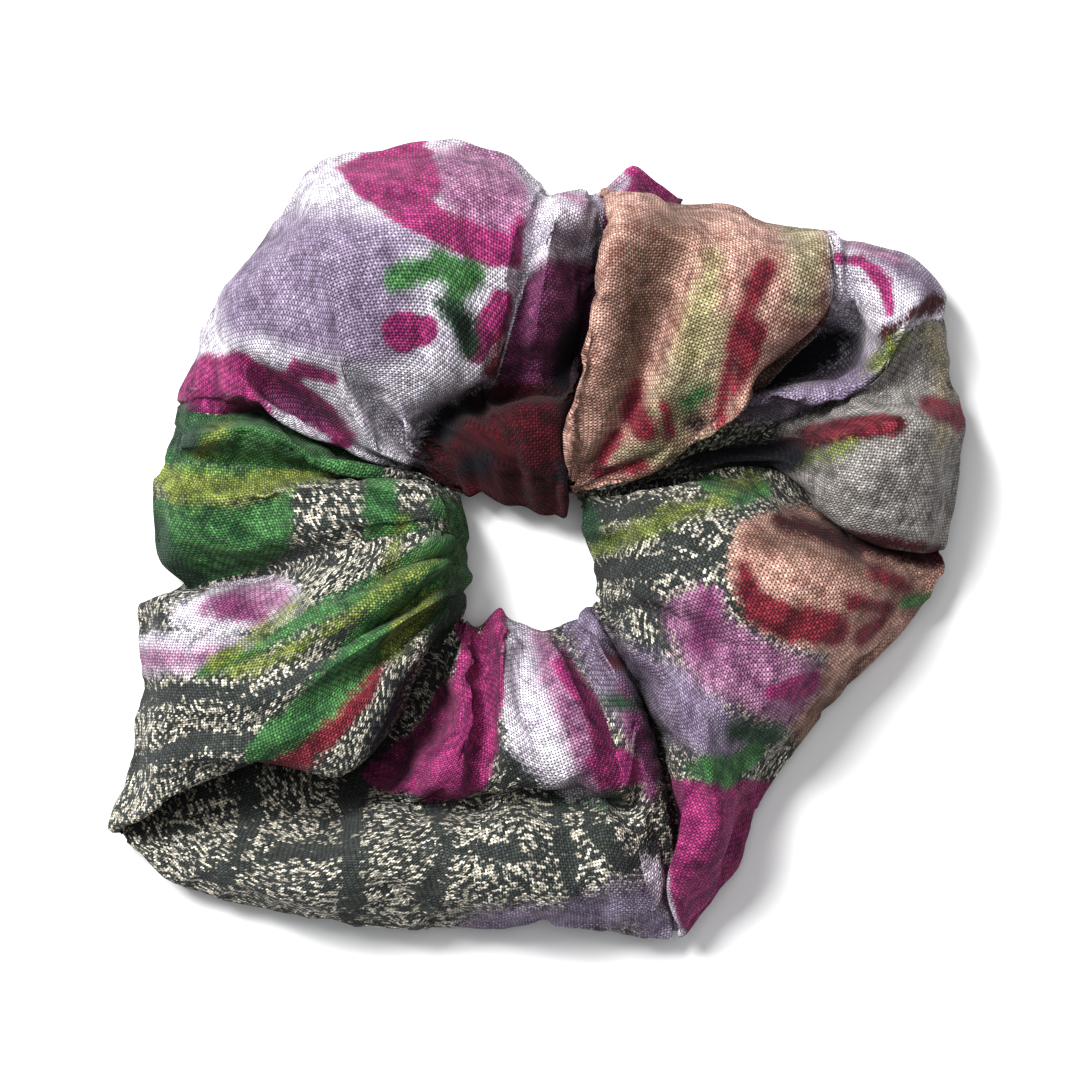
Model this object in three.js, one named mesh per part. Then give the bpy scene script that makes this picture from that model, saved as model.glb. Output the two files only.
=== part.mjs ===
// A gathered cloth scrunchie: one sewn cloth tube, bunched into folds round a lapped loop of flat elastic.
// Millimetres, +Z up. It lies flat on z = 0 with the origin under the centre of its outline.
// The cloth tube is divided at its creases into shell segments, so that the ring can open when it is pulled.

import * as THREE from "three";
import { ParametricGeometry } from "three/addons/geometries/ParametricGeometry.js";

// ---- Driving dimensions ----

const HOLE = new THREE.Vector2(-1.2, -2.75); // centre of the hair opening, in plan
const CLOTH = 1.4; // shell wall, which holds as much cloth as the gathers do
const GAP = 0.3; // clearance between neighbouring solids
const HOLE_AT_FOLD = 8.4; // radius of the opening in front of a fold
const HOLE_AT_CREASE = 11; // and where two folds meet
const CREASE_HEIGHT = 17.5;
const ROUNDNESS = 2.5; // superellipse exponent of the tube's section
const FLATTENING = 1.8; // how much of the section's underside the table presses flat
const FOLD_STEPS = 5; // steps along one fold
const SECTION_STEPS = 20; // steps round the tube's section

const ELASTIC = { radius: 23, width: 6, thickness: 1, centre: 9, lap: 28, run: 40, at: 166 };
const SEAM = { radius: 17.5, plies: 1.2, low: 3.6, high: 10.6, stitch: 5.2 };
const THREAD = 0.4; // sewing thread diameter
const THREAD_GREY = 0x8f8a90;

// The folds, anticlockwise from the right. A fold starts at the crease `from`, in degrees round the opening,
// where the ring reaches `reach`. It swells past the line between its two creases by `swell` and crowns at `crown`.
const FOLDS = [
  { name: "cover_fold_right", from: 6, reach: 55, swell: 3.4, crown: 27, tint: 0xb9aea8 },
  { name: "cover_fold_right_upper", from: 33, reach: 62.5, swell: 2.2, crown: 29, tint: 0xc4a79c },
  { name: "cover_fold_top_right", from: 55, reach: 56, swell: 1.2, crown: 30, tint: 0xb98f80 },
  { name: "cover_fold_top_tuck", from: 78, reach: 51, swell: 1.5, crown: 24, tint: 0x6b3557 },
  { name: "cover_fold_top_left", from: 92, reach: 52.5, swell: 5, crown: 28, tint: 0xb04a86 },
  { name: "cover_fold_left_upper", from: 120, reach: 53.5, swell: 1, crown: 27, tint: 0xcfc2d0 },
  { name: "cover_fold_left_roll", from: 154, reach: 49.5, swell: 2.2, crown: 25, tint: 0x5d8a3a },
  { name: "cover_fold_left", from: 181, reach: 49, swell: 2.6, crown: 27, tint: 0x3f7a45 },
  { name: "cover_fold_left_lower", from: 203, reach: 59.5, swell: 3, crown: 26, tint: 0x8d8b80 },
  { name: "cover_fold_bottom_left", from: 226, reach: 60.5, swell: 0.5, crown: 24, tint: 0x6f6c66 },
  { name: "cover_fold_bottom_right", from: 262, reach: 48.5, swell: 1.5, crown: 23, tint: 0x9c3a78 },
  { name: "cover_fold_lower_right", from: 297, reach: 51, swell: -1.5, crown: 25, tint: 0xa58fae },
  { name: "cover_fold_right_lower", from: 333, reach: 42, swell: 1.6, crown: 26, tint: 0xa8564f },
];

// ---- The tube's section ----

const radians = THREE.MathUtils.degToRad;
const signedPower = (value, power) => Math.sign(value) * Math.abs(value) ** power;

/** The point at a turn (0 to 1) round the tube's section, for a section at an angle round the opening. */
function sectionPoint(angle, turn, { near, far, height }, inset) {
  const around = turn * 2 * Math.PI;
  const halfWidth = (far - near) / 2 - inset;
  const radius = (near + far) / 2 + halfWidth * signedPower(Math.cos(around), 2 / ROUNDNESS);
  const rise = 0.5 + 0.5 * signedPower(Math.sin(around), 2 / ROUNDNESS);
  const z = (height + FLATTENING) * rise - FLATTENING;
  return new THREE.Vector3(
    HOLE.x + radius * Math.cos(angle),
    HOLE.y + radius * Math.sin(angle),
    THREE.MathUtils.clamp(z, inset, height - inset),
  );
}

/** The size of the section at a share (0 to 1) of the way along a fold. */
function sectionSize(fold, share) {
  const next = FOLDS[(FOLDS.indexOf(fold) + 1) % FOLDS.length];
  const swelling = Math.sin(Math.PI * share) ** 0.7;
  return {
    near: THREE.MathUtils.lerp(HOLE_AT_CREASE, HOLE_AT_FOLD, swelling),
    far: THREE.MathUtils.lerp(fold.reach, next.reach, share) + fold.swell * swelling,
    height: THREE.MathUtils.lerp(CREASE_HEIGHT, fold.crown, swelling),
  };
}

/** Where a fold starts and ends, in radians, with half a gap taken off each end at the elastic's radius. */
function foldSpan(fold) {
  const next = FOLDS[(FOLDS.indexOf(fold) + 1) % FOLDS.length];
  const start = radians(fold.from);
  const end = radians(next.from + (next.from < fold.from ? 360 : 0));
  const halfGap = GAP / 2 / HOLE_AT_CREASE;
  return [start + halfGap, end - halfGap];
}

// ---- Pieces ----

function addMesh(group, name, geometry, colour, roughness = 0.9) {
  const material = new THREE.MeshStandardMaterial({ color: colour, roughness, metalness: 0 });
  const mesh = new THREE.Mesh(geometry, material);
  mesh.name = name;
  group.add(mesh);
  return mesh;
}

/** One fold of the cloth tube: a shell open at both creases, run along its outside and back along its inside. */
function foldShell(fold) {
  const [start, end] = foldSpan(fold);
  const rings = 2 * (FOLD_STEPS + 1);
  const place = (turn, along, target) => {
    const ring = Math.round(along * rings) % rings;
    const outside = ring <= FOLD_STEPS;
    const step = outside ? ring : rings - 1 - ring;
    const share = step / FOLD_STEPS;
    const angle = THREE.MathUtils.lerp(start, end, share);
    target.copy(sectionPoint(angle, 1 - (turn % 1), sectionSize(fold, share), outside ? 0 : CLOTH));
  };
  return new ParametricGeometry(place, SECTION_STEPS, rings);
}

/** A flat loop of elastic seen in plan: one strip whose outer end laps over its inner end. */
function elasticLoop() {
  const { radius, width, thickness, centre, lap, run, at } = ELASTIC;
  const steps = 72;
  const turn = 360 + lap;
  const layer = thickness + GAP;
  const edge = (offset) =>
    Array.from({ length: steps + 1 }, (_, i) => {
      const degrees = (turn * i) / steps;
      const climb = THREE.MathUtils.smoothstep(degrees, turn - lap - run, turn - lap);
      const reach = radius - thickness / 2 + offset + climb * layer;
      const angle = radians(at + degrees);
      return new THREE.Vector2(HOLE.x + reach * Math.cos(angle), HOLE.y + reach * Math.sin(angle));
    });
  const outline = new THREE.Shape([...edge(0), ...edge(thickness).reverse()]);
  const band = new THREE.ExtrudeGeometry(outline, { depth: width, bevelEnabled: false });
  return band.translate(0, 0, centre - width / 2);
}

/** A ring of rectangular section round the opening. */
function ring(near, far, low, high) {
  const profile = [[near, low], [far, low], [far, high], [near, high], [near, low]];
  const lathe = new THREE.LatheGeometry(profile.map(([x, y]) => new THREE.Vector2(x, y)), 60);
  return lathe.rotateX(Math.PI / 2).translate(HOLE.x, HOLE.y, 0);
}

/** A sewing thread along a run of points. */
function thread(points, steps) {
  const section = new THREE.Shape().absarc(0, 0, THREAD / 2, 0, 2 * Math.PI);
  const extrudePath = new THREE.CatmullRomCurve3(points, false, "catmullrom", 0.1);
  return new THREE.ExtrudeGeometry(section, { steps, extrudePath, curveSegments: 3, bevelEnabled: false });
}

/** Zigzag stitches that hold the elastic's lap, on a face of the lap at this radius. */
function lapStitches(radius) {
  const stitches = 8;
  const reach = 1.9;
  const middle = radians(ELASTIC.at + ELASTIC.lap / 2);
  const half = radians(ELASTIC.lap / 2 - 4);
  const points = Array.from({ length: stitches + 1 }, (_, i) => {
    const angle = middle + half * ((2 * i) / stitches - 1);
    const z = ELASTIC.centre + (i % 2 ? reach : -reach);
    return new THREE.Vector3(HOLE.x + radius * Math.cos(angle), HOLE.y + radius * Math.sin(angle), z);
  });
  return thread(points, stitches * 4);
}

/** Stitches round the inside of the tube, at one step along a fold, on one side of its two joined ends. */
function crossStitches(fold, step) {
  const [start, end] = foldSpan(fold);
  const share = step / FOLD_STEPS;
  const angle = THREE.MathUtils.lerp(start, end, share);
  const inset = CLOTH + 2 * GAP + THREAD;
  const points = Array.from({ length: SECTION_STEPS - 1 }, (_, i) =>
    sectionPoint(angle, (i + 1) / SECTION_STEPS, sectionSize(fold, share), inset),
  );
  return thread(points, 3 * points.length);
}

/** Stitches that close the turning gap, along the lower inside edge of one fold, on one side of the cloth. */
function gapStitches(fold, inset) {
  const [start, end] = foldSpan(fold);
  const steps = 10;
  const points = Array.from({ length: steps + 1 }, (_, i) => {
    const share = 0.12 + (0.76 * i) / steps;
    return sectionPoint(THREE.MathUtils.lerp(start, end, share), 0.56, sectionSize(fold, share), inset);
  });
  return thread(points, steps);
}

// ---- The whole scrunchie ----

const scrunchie = new THREE.Group();
const foldNamed = (name) => FOLDS.find((fold) => fold.name === name);

const cover = new THREE.Group();
for (const fold of FOLDS) addMesh(cover, fold.name, foldShell(fold), fold.tint);
scrunchie.add(cover);

const elastic = new THREE.Group();
const lapInside = ELASTIC.radius - ELASTIC.thickness / 2 - GAP - THREAD / 2;
const lapOutside = ELASTIC.radius + ELASTIC.thickness * 1.5 + 2 * GAP + THREAD / 2;
addMesh(elastic, "elastic_loop", elasticLoop(), 0xe9e6df, 0.8);
addMesh(elastic, "elastic_lap_needle_thread", lapStitches(lapOutside), 0xf4f2ee, 0.6);
addMesh(elastic, "elastic_lap_bobbin_thread", lapStitches(lapInside), 0xf4f2ee, 0.6);
scrunchie.add(elastic);

const seams = new THREE.Group();
const { radius, plies, low, high, stitch } = SEAM;
const needleRing = radius - plies / 2 - GAP;
const bobbinRing = radius + plies / 2 + GAP;
const needleStitches = ring(needleRing - THREAD, needleRing, stitch, stitch + THREAD);
const bobbinStitches = ring(bobbinRing, bobbinRing + THREAD, stitch, stitch + THREAD);
addMesh(seams, "long_seam_allowance", ring(radius - plies / 2, radius + plies / 2, low, high), 0xc9c2c4);
addMesh(seams, "long_seam_needle_thread", needleStitches, THREAD_GREY, 0.6);
addMesh(seams, "long_seam_bobbin_thread", bobbinStitches, THREAD_GREY, 0.6);
const joined = foldNamed("cover_fold_top_tuck");
addMesh(seams, "cross_seam_needle_thread", crossStitches(joined, 2), THREAD_GREY, 0.6);
addMesh(seams, "cross_seam_bobbin_thread", crossStitches(joined, 3), THREAD_GREY, 0.6);
const closed = foldNamed("cover_fold_bottom_right");
addMesh(seams, "gap_needle_thread", gapStitches(closed, -GAP - THREAD / 2), THREAD_GREY, 0.6);
addMesh(seams, "gap_bobbin_thread", gapStitches(closed, CLOTH + GAP + THREAD / 2), THREAD_GREY, 0.6);
scrunchie.add(seams);

export default scrunchie;
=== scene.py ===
"""A gathered scrunchie: one printed cotton tube in folds round a hidden loop of elastic.

Lengths are in millimetres until a mesh is made.
"""

import math

import bpy
import numpy as np
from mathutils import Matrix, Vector, noise
from mathutils.bvhtree import BVHTree


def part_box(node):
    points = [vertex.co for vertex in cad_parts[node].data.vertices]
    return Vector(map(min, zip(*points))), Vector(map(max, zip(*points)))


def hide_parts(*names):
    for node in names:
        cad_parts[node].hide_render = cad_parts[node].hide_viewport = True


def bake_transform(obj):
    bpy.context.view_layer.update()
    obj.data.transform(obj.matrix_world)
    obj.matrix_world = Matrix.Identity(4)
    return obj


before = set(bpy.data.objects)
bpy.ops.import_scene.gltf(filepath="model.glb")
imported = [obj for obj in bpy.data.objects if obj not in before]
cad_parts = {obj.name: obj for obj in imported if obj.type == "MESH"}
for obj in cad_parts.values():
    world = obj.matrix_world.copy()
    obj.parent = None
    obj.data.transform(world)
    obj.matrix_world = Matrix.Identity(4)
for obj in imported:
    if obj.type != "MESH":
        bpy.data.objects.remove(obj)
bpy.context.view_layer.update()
MM = 0.001

# ---- Camera, light and table ----

CAMERA_HEIGHT, RING_MIDDLE, VIEW_WIDTH = 0.62, 0.017, 0.1444
camera = bpy.data.objects.new("camera", bpy.data.cameras.new("camera"))
bpy.context.collection.objects.link(camera)
camera.location = (0, 0, CAMERA_HEIGHT)
camera.data.sensor_width = 36
camera.data.lens = camera.data.sensor_width * (CAMERA_HEIGHT - RING_MIDDLE) / VIEW_WIDTH
camera.data.clip_start, camera.data.clip_end = 0.01, 10
bpy.context.scene.camera = camera


def softbox(name, place, size, watts, aim=(0, 0, 0)):
    """A square area light that points at the ring."""
    data = bpy.data.lights.new(name, "AREA")
    data.shape, data.size, data.energy = "SQUARE", size, watts
    light = bpy.data.objects.new(name, data)
    light.location = place
    light.rotation_euler = (Vector(aim) - Vector(place)).to_track_quat("-Z", "Y").to_euler()
    bpy.context.collection.objects.link(light)
    return light


softbox("window", (-0.31, 0.31, 0.69), 0.24, 8.6)
softbox("ceiling", (0.05, 0.1, 1.0), 0.6, 2.8)
world = bpy.data.worlds.new("studio")
bpy.context.scene.world = world
world.use_nodes = True
world.node_tree.nodes["Background"].inputs["Color"].default_value = (0.95, 0.97, 1.0, 1)
world.node_tree.nodes["Background"].inputs["Strength"].default_value = 0.2
bpy.context.scene.view_settings.view_transform = "Standard"
bpy.context.scene.view_settings.look = "Medium High Contrast"

# ---- The folds ----

# Each rib is a line over the top of the tube, from the hair opening to the outline, as (x, y, height).
# The ribs go anticlockwise, and a fold that lies over its neighbour has ribs that step back under it.
# "dip" ribs lie in creases.
RIBS = [
    ("dip", [(5.1, 5.7, 8), (14.7, 7.5, 4), (30.1, 9.9, 3), (39, 4.7, 4), (45.2, 2.1, 5), (52.4, 0.8, 5)]),
    ("right", [(5.1, 5.9, 8), (14.7, 8, 5), (32.1, 10.4, 9), (37.4, 4.3, 16), (42.8, 0.9, 17),
        (48.8, -0.9, 15), (54, -0.8, 7)]),
    ("right", [(4.9, 6, 8), (14.7, 8.3, 5), (31.4, 11.2, 8), (41.4, 7.8, 21), (48.1, 6.4, 21),
        (53.5, 7, 14), (55.8, 8, 7)]),
    ("right", [(4.8, 6.2, 8), (14.7, 8.7, 5), (30.8, 12.6, 6), (40.8, 13.1, 22), (48.1, 15.4, 24),
        (54.1, 16, 16), (57.2, 15.4, 7)]),
    ("right", [(4.8, 6.3, 8), (14.7, 9.1, 5), (30.8, 13.9, 5), (40.1, 17.1, 17.5), (46.8, 20.7, 15),
        (52.5, 23.1, 11.5), (55.5, 22.5, 7)]),
    ("dip", [(4.7, 6.4, 8), (14.7, 9.5, 5), (30.8, 15.2, 5), (39.8, 19.8, 12), (46.1, 25.4, 18),
        (50.8, 29.1, 15), (54.3, 29.7, 7)]),
    ("right_upper", [(4.7, 6.6, 8), (14.7, 9.8, 6), (29.7, 16.3, 9), (37.4, 17.6, 17), (43.9, 21.4, 19),
        (47.5, 27.4, 21), (50.1, 32.1, 18), (53.7, 33.2, 7)]),
    ("right_upper", [(4.7, 6.6, 8), (14.7, 9.9, 7), (27.8, 17.1, 12), (34.8, 18.5, 17), (43.1, 22.1, 18),
        (45.2, 28.1, 20), (46.8, 34.8, 18), (49.7, 37.7, 7)]),
    ("right_upper", [(4.7, 6.7, 8), (14.7, 10, 9), (27, 17.5, 14), (34.8, 19.5, 15), (41.4, 23, 14),
        (42.8, 28.7, 17), (42.5, 36.1, 18), (44.4, 39.6, 7)]),
    ("right_upper", [(4.7, 6.7, 8), (14.7, 10.2, 9), (26.7, 17.8, 13), (33.7, 20.3, 9), (40.4, 23.8, 5),
        (41.7, 28.6, 9), (40.6, 33.7, 17), (40.1, 38, 18), (39.8, 40.9, 7)]),
    ("dip", [(4.7, 6.7, 8), (14.7, 10.2, 10), (26.2, 18, 13), (30.5, 21.7, 2), (34.2, 25.1, 1.5),
        (37.7, 28.6, 4), (38.6, 33.2, 17), (38.6, 38.1, 19), (38.6, 41.3, 7)]),
    ("top_right", [(4.7, 6.7, 9), (14.7, 10.2, 11), (25.9, 16.6, 18), (28.3, 20.9, 18), (31.4, 25.1, 18),
        (35.2, 29.7, 18.5), (37.2, 34, 20), (37.3, 38.8, 19), (37.2, 41.8, 7)]),
    ("top_right", [(4.7, 6.7, 9), (14.7, 10.2, 12), (23, 14.4, 15), (27, 22.1, 19), (29.7, 29.4, 22),
        (31.8, 37.4, 22), (32.1, 42.9, 7)]),
    ("top_right", [(4.7, 6.8, 10), (12.7, 10.4, 13), (18.7, 16, 17), (22.5, 25.4, 22), (25.1, 34.8, 25),
        (26.1, 40.8, 20), (26.1, 44.5, 7)]),
    ("top_right", [(4.5, 7, 10), (11, 11.8, 14.5), (16.3, 19.4, 19.5), (19, 27.4, 22.5), (21.9, 36.4, 24),
        (23, 42.1, 19), (22.5, 45.2, 7)]),
    ("top_right", [(4.4, 7.1, 11), (8.4, 12, 13), (12.3, 18, 15.5), (14.4, 24.7, 18), (17.1, 32.1, 21.5),
        (19.8, 39.4, 24.5), (19.8, 43.1, 19), (19, 45.9, 7)]),
    ("top_right", [(4.4, 7.2, 11), (6.7, 12.4, 16), (9.4, 20.1, 20), (11.8, 29.4, 24), (14, 38.1, 26),
        (15.8, 43.5, 20), (15.4, 46.3, 7)]),
    ("top_right", [(4.1, 7.8, 12), (4.8, 13.4, 17), (6.4, 20.7, 22), (8.3, 29.4, 26), (10.2, 38.1, 28),
        (11.5, 43.9, 21), (11.2, 46.5, 7)]),
    ("top_right", [(4, 8.3, 14), (3.7, 14, 19), (4.7, 21.4, 23), (5.9, 29.4, 26), (7.2, 37.7, 26),
        (8.2, 43.9, 19), (8.4, 46.7, 8)]),
    ("dip", [(4.4, 8.3, 10), (5.1, 14.7, 12), (6.4, 21.4, 14), (7.8, 29.4, 15), (9.1, 37.4, 17),
        (9.8, 44.1, 15), (9.5, 46.4, 6)]),
    ("top_peak", [(4.7, 8.6, 9), (6.7, 15.4, 9), (9.4, 25.4, 9), (13.4, 34.8, 9), (17.1, 41.4, 8),
        (19.3, 45.5, 5)]),
    ("top_peak", [(4.5, 8.6, 9), (6.4, 15.8, 9), (8.8, 25.4, 9), (12, 34.8, 9.5), (14.4, 42.1, 9.5),
        (15.6, 48, 5.5)]),
    ("top_peak", [(4.4, 8.6, 9), (6, 16, 9), (8, 25.4, 9), (10.4, 34.8, 10), (11.8, 42.8, 12),
        (12.4, 50.1, 6)]),
    ("top_peak", [(4.1, 8.6, 9), (5.5, 16, 8), (7.1, 25.4, 8), (8.8, 35, 10.5), (9.6, 42.8, 13.5),
        (10, 48.5, 6)]),
    ("dip", [(4, 8.6, 9), (5.1, 16, 7), (6.4, 25.4, 7), (7.5, 35.4, 11), (7.9, 42.8, 15), (7.6, 46.9, 6)]),
    ("top_tuck", [(3.6, 2.9, 8), (3.5, 8.7, 15), (2.9, 18, 17), (2.9, 21.9, 7), (3.5, 28.1, 13),
        (4.4, 36.8, 18), (5.3, 43.1, 20), (5.3, 46.8, 7)]),
    ("top_tuck", [(1.1, 2.8, 8), (0.3, 10, 17), (-0.8, 17.4, 19), (-1.3, 20.3, 9), (-0.5, 28.1, 19),
        (1.3, 37.2, 23), (2.4, 43.9, 22), (2.7, 46.9, 7)]),
    ("dip", [(-2, 3.9, 8), (-3.6, 10.4, 17), (-5.3, 16.7, 18), (-6.2, 19.4, 8), (-4.3, 26.7, 15),
        (-1.6, 36.8, 19), (0.3, 43.9, 19), (0.9, 46.8, 7)]),
    ("top_left", [(-4.7, 5.3, 8), (-6.4, 11.4, 16), (-8.3, 15.5, 15), (-9.1, 18.2, 7), (-8.6, 19.7, 8),
        (-7.2, 21.7, 17), (-4.5, 29.4, 22), (-2.9, 38.8, 24), (-1.1, 44.8, 20), (0, 47.9, 7)]),
    ("top_left", [(-7.4, 6, 8), (-9.5, 11, 14), (-11.2, 14.2, 13), (-12.4, 16.7, 6.5), (-12, 18.2, 9),
        (-10.8, 20.3, 17.5), (-8.8, 25.4, 22), (-7, 34.8, 25), (-5.3, 44.1, 22), (-4.3, 48.8, 14),
        (-4, 51.3, 7)]),
    ("top_left", [(-9.6, 5.9, 8), (-12.2, 10.4, 11), (-13.6, 12.8, 9.5), (-14.7, 14.7, 6.5),
        (-15.1, 16.3, 11), (-15.4, 19, 18), (-14.7, 29.4, 26), (-13.6, 38.8, 28), (-12.7, 46.8, 21),
        (-12, 51.5, 13), (-11.8, 53.6, 7)]),
    ("top_left", [(-10.4, 6, 7), (-13.6, 9.9, 8.5), (-15.5, 12, 7), (-16.7, 13.8, 12), (-18.2, 18.5, 19),
        (-20.7, 29.4, 27), (-21.7, 38.1, 28), (-21.7, 45.5, 20), (-21.4, 50.1, 13), (-21.1, 52.5, 7)]),
    ("top_left", [(-10.7, 6.3, 7), (-15, 10.6, 7), (-18.2, 14.4, 10), (-21.7, 18.5, 16), (-25, 23.8, 24),
        (-27.3, 34.8, 27.5), (-28.9, 43.9, 19), (-29.1, 48.4, 12), (-29.1, 50.5, 7)]),
    ("top_left", [(-10.8, 6.4, 7), (-15.8, 10.3, 12), (-20.3, 13.8, 17), (-23.8, 18.5, 21),
        (-27.4, 27.4, 26), (-30.8, 34.1, 25), (-33.4, 40.1, 17), (-34.2, 42.2, 12), (-34.8, 43.9, 7)]),
    ("top_left", [(-11.1, 6.7, 7), (-16.8, 10, 12), (-21.7, 13, 17), (-26.1, 17.4, 20), (-32.8, 23.8, 24),
        (-39, 28.7, 21), (-42.5, 31.4, 14), (-43.7, 32.1, 7)]),
    ("top_left", [(-11.2, 6.8, 7), (-17.4, 9.8, 9), (-23, 12, 11), (-28.7, 15.5, 12), (-34.8, 19.3, 15),
        (-38.8, 22.2, 20), (-42.5, 23.4, 17), (-45.2, 24.3, 13), (-46.8, 24.3, 7)]),
    ("top_left", [(-11.2, 7, 7), (-17.9, 9.6, 9), (-23.5, 11.4, 12), (-29.7, 14.2, 16), (-37.2, 18.2, 20),
        (-43.9, 19.4, 15), (-46.8, 19.8, 12), (-48.4, 19.8, 7)]),
    ("dip", [(-11.2, 7.1, 7), (-18.2, 9.4, 9), (-23.8, 11, 9), (-30.2, 13.9, 9), (-37.4, 17, 10),
        (-43.3, 16.6, 13), (-46.5, 16.8, 13), (-48.8, 17.1, 8)]),
    ("left_roll", [(-11.2, 7.1, 7), (-18.5, 9.2, 11), (-23.9, 10.3, 14), (-30.5, 12.4, 19),
        (-37.8, 14.7, 22), (-43.9, 14.2, 21), (-46.8, 14.2, 17), (-49.3, 14.4, 8)]),
    ("left_roll", [(-11.2, 7, 7), (-18.3, 8.7, 13), (-23.9, 9.5, 17), (-30.8, 10.8, 20),
        (-37.8, 12.3, 21.5), (-43.9, 12.2, 20), (-47.1, 12.3, 17), (-50.1, 12.6, 8)]),
    ("dip", [(-11.2, 6.8, 7), (-18.3, 8, 12), (-24.1, 8.4, 13), (-31, 9.1, 14.5), (-37.7, 9.5, 15),
        (-43.3, 9.9, 15), (-46.8, 10.3, 14), (-50.7, 10.4, 8)]),
    ("left", [(-10.4, 6.2, 7), (-15, 8, 17), (-22.7, 7.5, 21), (-31.4, 6.8, 20), (-39.4, 6, 19),
        (-45.5, 5.7, 17), (-48.9, 6.7, 15), (-51.6, 7.2, 8)]),
    ("left", [(-9.8, 3.7, 7), (-14, 5.3, 20), (-22.5, 4.5, 22), (-31.4, 3.5, 20), (-39.4, 2.5, 17),
        (-46.1, 2.1, 15), (-49.7, 2.7, 12), (-52.1, 2.9, 7)]),
    ("left", [(-9.5, 1.6, 7), (-13.6, 2.9, 21), (-22.5, 2.1, 23), (-31.4, 0.5, 19), (-39.4, -1.1, 15),
        (-45.5, -1.6, 12), (-49.2, -2.1, 10), (-51.1, -2.7, 6)]),
    ("dip", [(-9.4, 0.3, 7), (-13.6, 1.1, 21), (-22.5, -0.5, 21), (-30.8, -2.7, 16), (-37.4, -4.8, 9),
        (-42.5, -5.6, 7), (-45.7, -6.4, 6), (-47.6, -7.2, 5)]),
    ("left_lower", [(-9.4, -1.1, 7), (-13.6, -0.8, 21), (-22.5, -3.3, 22), (-30.5, -6.2, 20),
        (-37.2, -7.8, 17), (-44.1, -7.6, 16), (-49.7, -7.9, 14), (-53.1, -8.8, 7)]),
    ("left_lower", [(-9.2, -2.4, 7), (-13.8, -2.5, 18.5), (-20.9, -5.3, 20), (-28.7, -8.3, 20.5),
        (-37.2, -10.7, 19.5), (-44.8, -11.2, 18), (-50.1, -11.5, 15), (-53.5, -12.3, 7)]),
    ("left_lower", [(-9.4, -3.7, 7), (-13.9, -4.3, 22), (-22.5, -8.3, 24), (-30.5, -11.8, 24),
        (-38.1, -13.6, 23), (-45.5, -14.4, 20), (-50.8, -15, 16), (-53.9, -15.5, 7)]),
    ("left_lower", [(-9.5, -5.1, 7), (-13.9, -6, 17), (-20.3, -10.2, 18.5), (-28.1, -14.7, 22),
        (-37.2, -17.6, 22.5), (-45.5, -18.5, 20.5), (-50.8, -18.7, 16), (-53.7, -19, 7)]),
    ("left_lower", [(-9.8, -6.4, 7), (-14.4, -8, 21), (-22.5, -13.6, 24), (-30.5, -18.5, 25),
        (-38.1, -21.4, 24), (-45.5, -22.2, 21), (-50.8, -22.2, 16), (-53.7, -22.2, 7)]),
    ("left_lower", [(-9.9, -7.5, 7), (-14.3, -9.5, 15.5), (-20.6, -15.4, 19), (-28.1, -21.1, 22.5),
        (-37.2, -24.1, 23), (-44.8, -25.1, 20), (-50.8, -25.9, 16), (-54.4, -26.5, 7)]),
    ("left_lower", [(-10.2, -8.6, 7), (-14.7, -11.4, 18), (-21.1, -17.4, 22), (-28.6, -24.1, 24),
        (-36.1, -26.7, 24), (-44.4, -28.3, 21), (-50.8, -29.7, 16), (-55.1, -30.5, 7)]),
    ("left_lower", [(-10.4, -10.4, 8), (-13.6, -14, 15), (-17.6, -20.1, 19), (-21.9, -26.5, 21),
        (-26.7, -30.8, 20), (-34.1, -29.7, 20), (-40.8, -30.8, 19), (-48.1, -34, 17), (-52.8, -36.4, 14),
        (-57.1, -38.2, 8)]),
    ("dip", [(-10.3, -10.4, 7), (-12.4, -13.6, 8), (-15.4, -19.4, 7), (-20.1, -26.1, 5), (-27.4, -28.3, 4),
        (-36.1, -27.8, 4), (-44.8, -29.7, 4), (-50.8, -34.1, 4), (-56.4, -39.8, 6)]),
    ("bottom_left", [(-10.2, -10.7, 7), (-11.8, -15.4, 9), (-14.7, -22.7, 8), (-20.7, -30.1, 5),
        (-30.8, -33.4, 4), (-41.4, -35.6, 5), (-49.5, -39.3, 8), (-55.2, -41.7, 7)]),
    ("bottom_left", [(-9.9, -11, 7), (-11, -16, 12), (-13.1, -24.3, 17), (-18.2, -32.6, 12),
        (-26.7, -35.6, 6), (-36.8, -39.6, 12), (-43.5, -43.1, 13), (-48.1, -46, 7)]),
    ("bottom_left", [(-9.6, -11.1, 7), (-10.2, -16.3, 14), (-11.4, -24.3, 20), (-14.7, -32.4, 17),
        (-17.1, -34.8, 9), (-20.3, -37.4, 15), (-26.1, -40.8, 18), (-31.4, -46.8, 16), (-34.1, -50.5, 7)]),
    ("bottom_left", [(-9, -11.2, 7), (-9.4, -16.3, 15), (-9.4, -24.3, 21), (-11.2, -32.8, 18),
        (-12, -35, 10), (-13.4, -37.7, 17), (-16, -42.1, 19), (-17.6, -47.5, 17), (-18.7, -52.3, 7)]),
    ("dip", [(-8.2, -11.4, 7), (-8, -16, 11), (-7.8, -24.1, 17), (-7.8, -32.8, 16), (-7.8, -34.9, 10),
        (-8, -37.8, 17), (-8.6, -42.5, 19), (-8.8, -47.5, 17), (-9.1, -52.1, 7)]),
    ("bottom", [(-5.3, -8.8, 8), (-4.8, -14, 18), (-4.7, -22.7, 21), (-3.6, -32.4, 18), (-3.2, -34.5, 11),
        (-2.7, -37.7, 18), (-2.1, -43.1, 20), (-1.9, -47.9, 17), (-1.9, -51.9, 7)]),
    ("bottom", [(-3.2, -10.8, 7), (-2.4, -15.4, 13), (-1.3, -23.4, 18), (1.3, -32.4, 18), (2, -34.6, 11),
        (2.7, -37.8, 18), (3.7, -43.5, 19), (4.5, -48.1, 16), (5.1, -51.9, 7)]),
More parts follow.
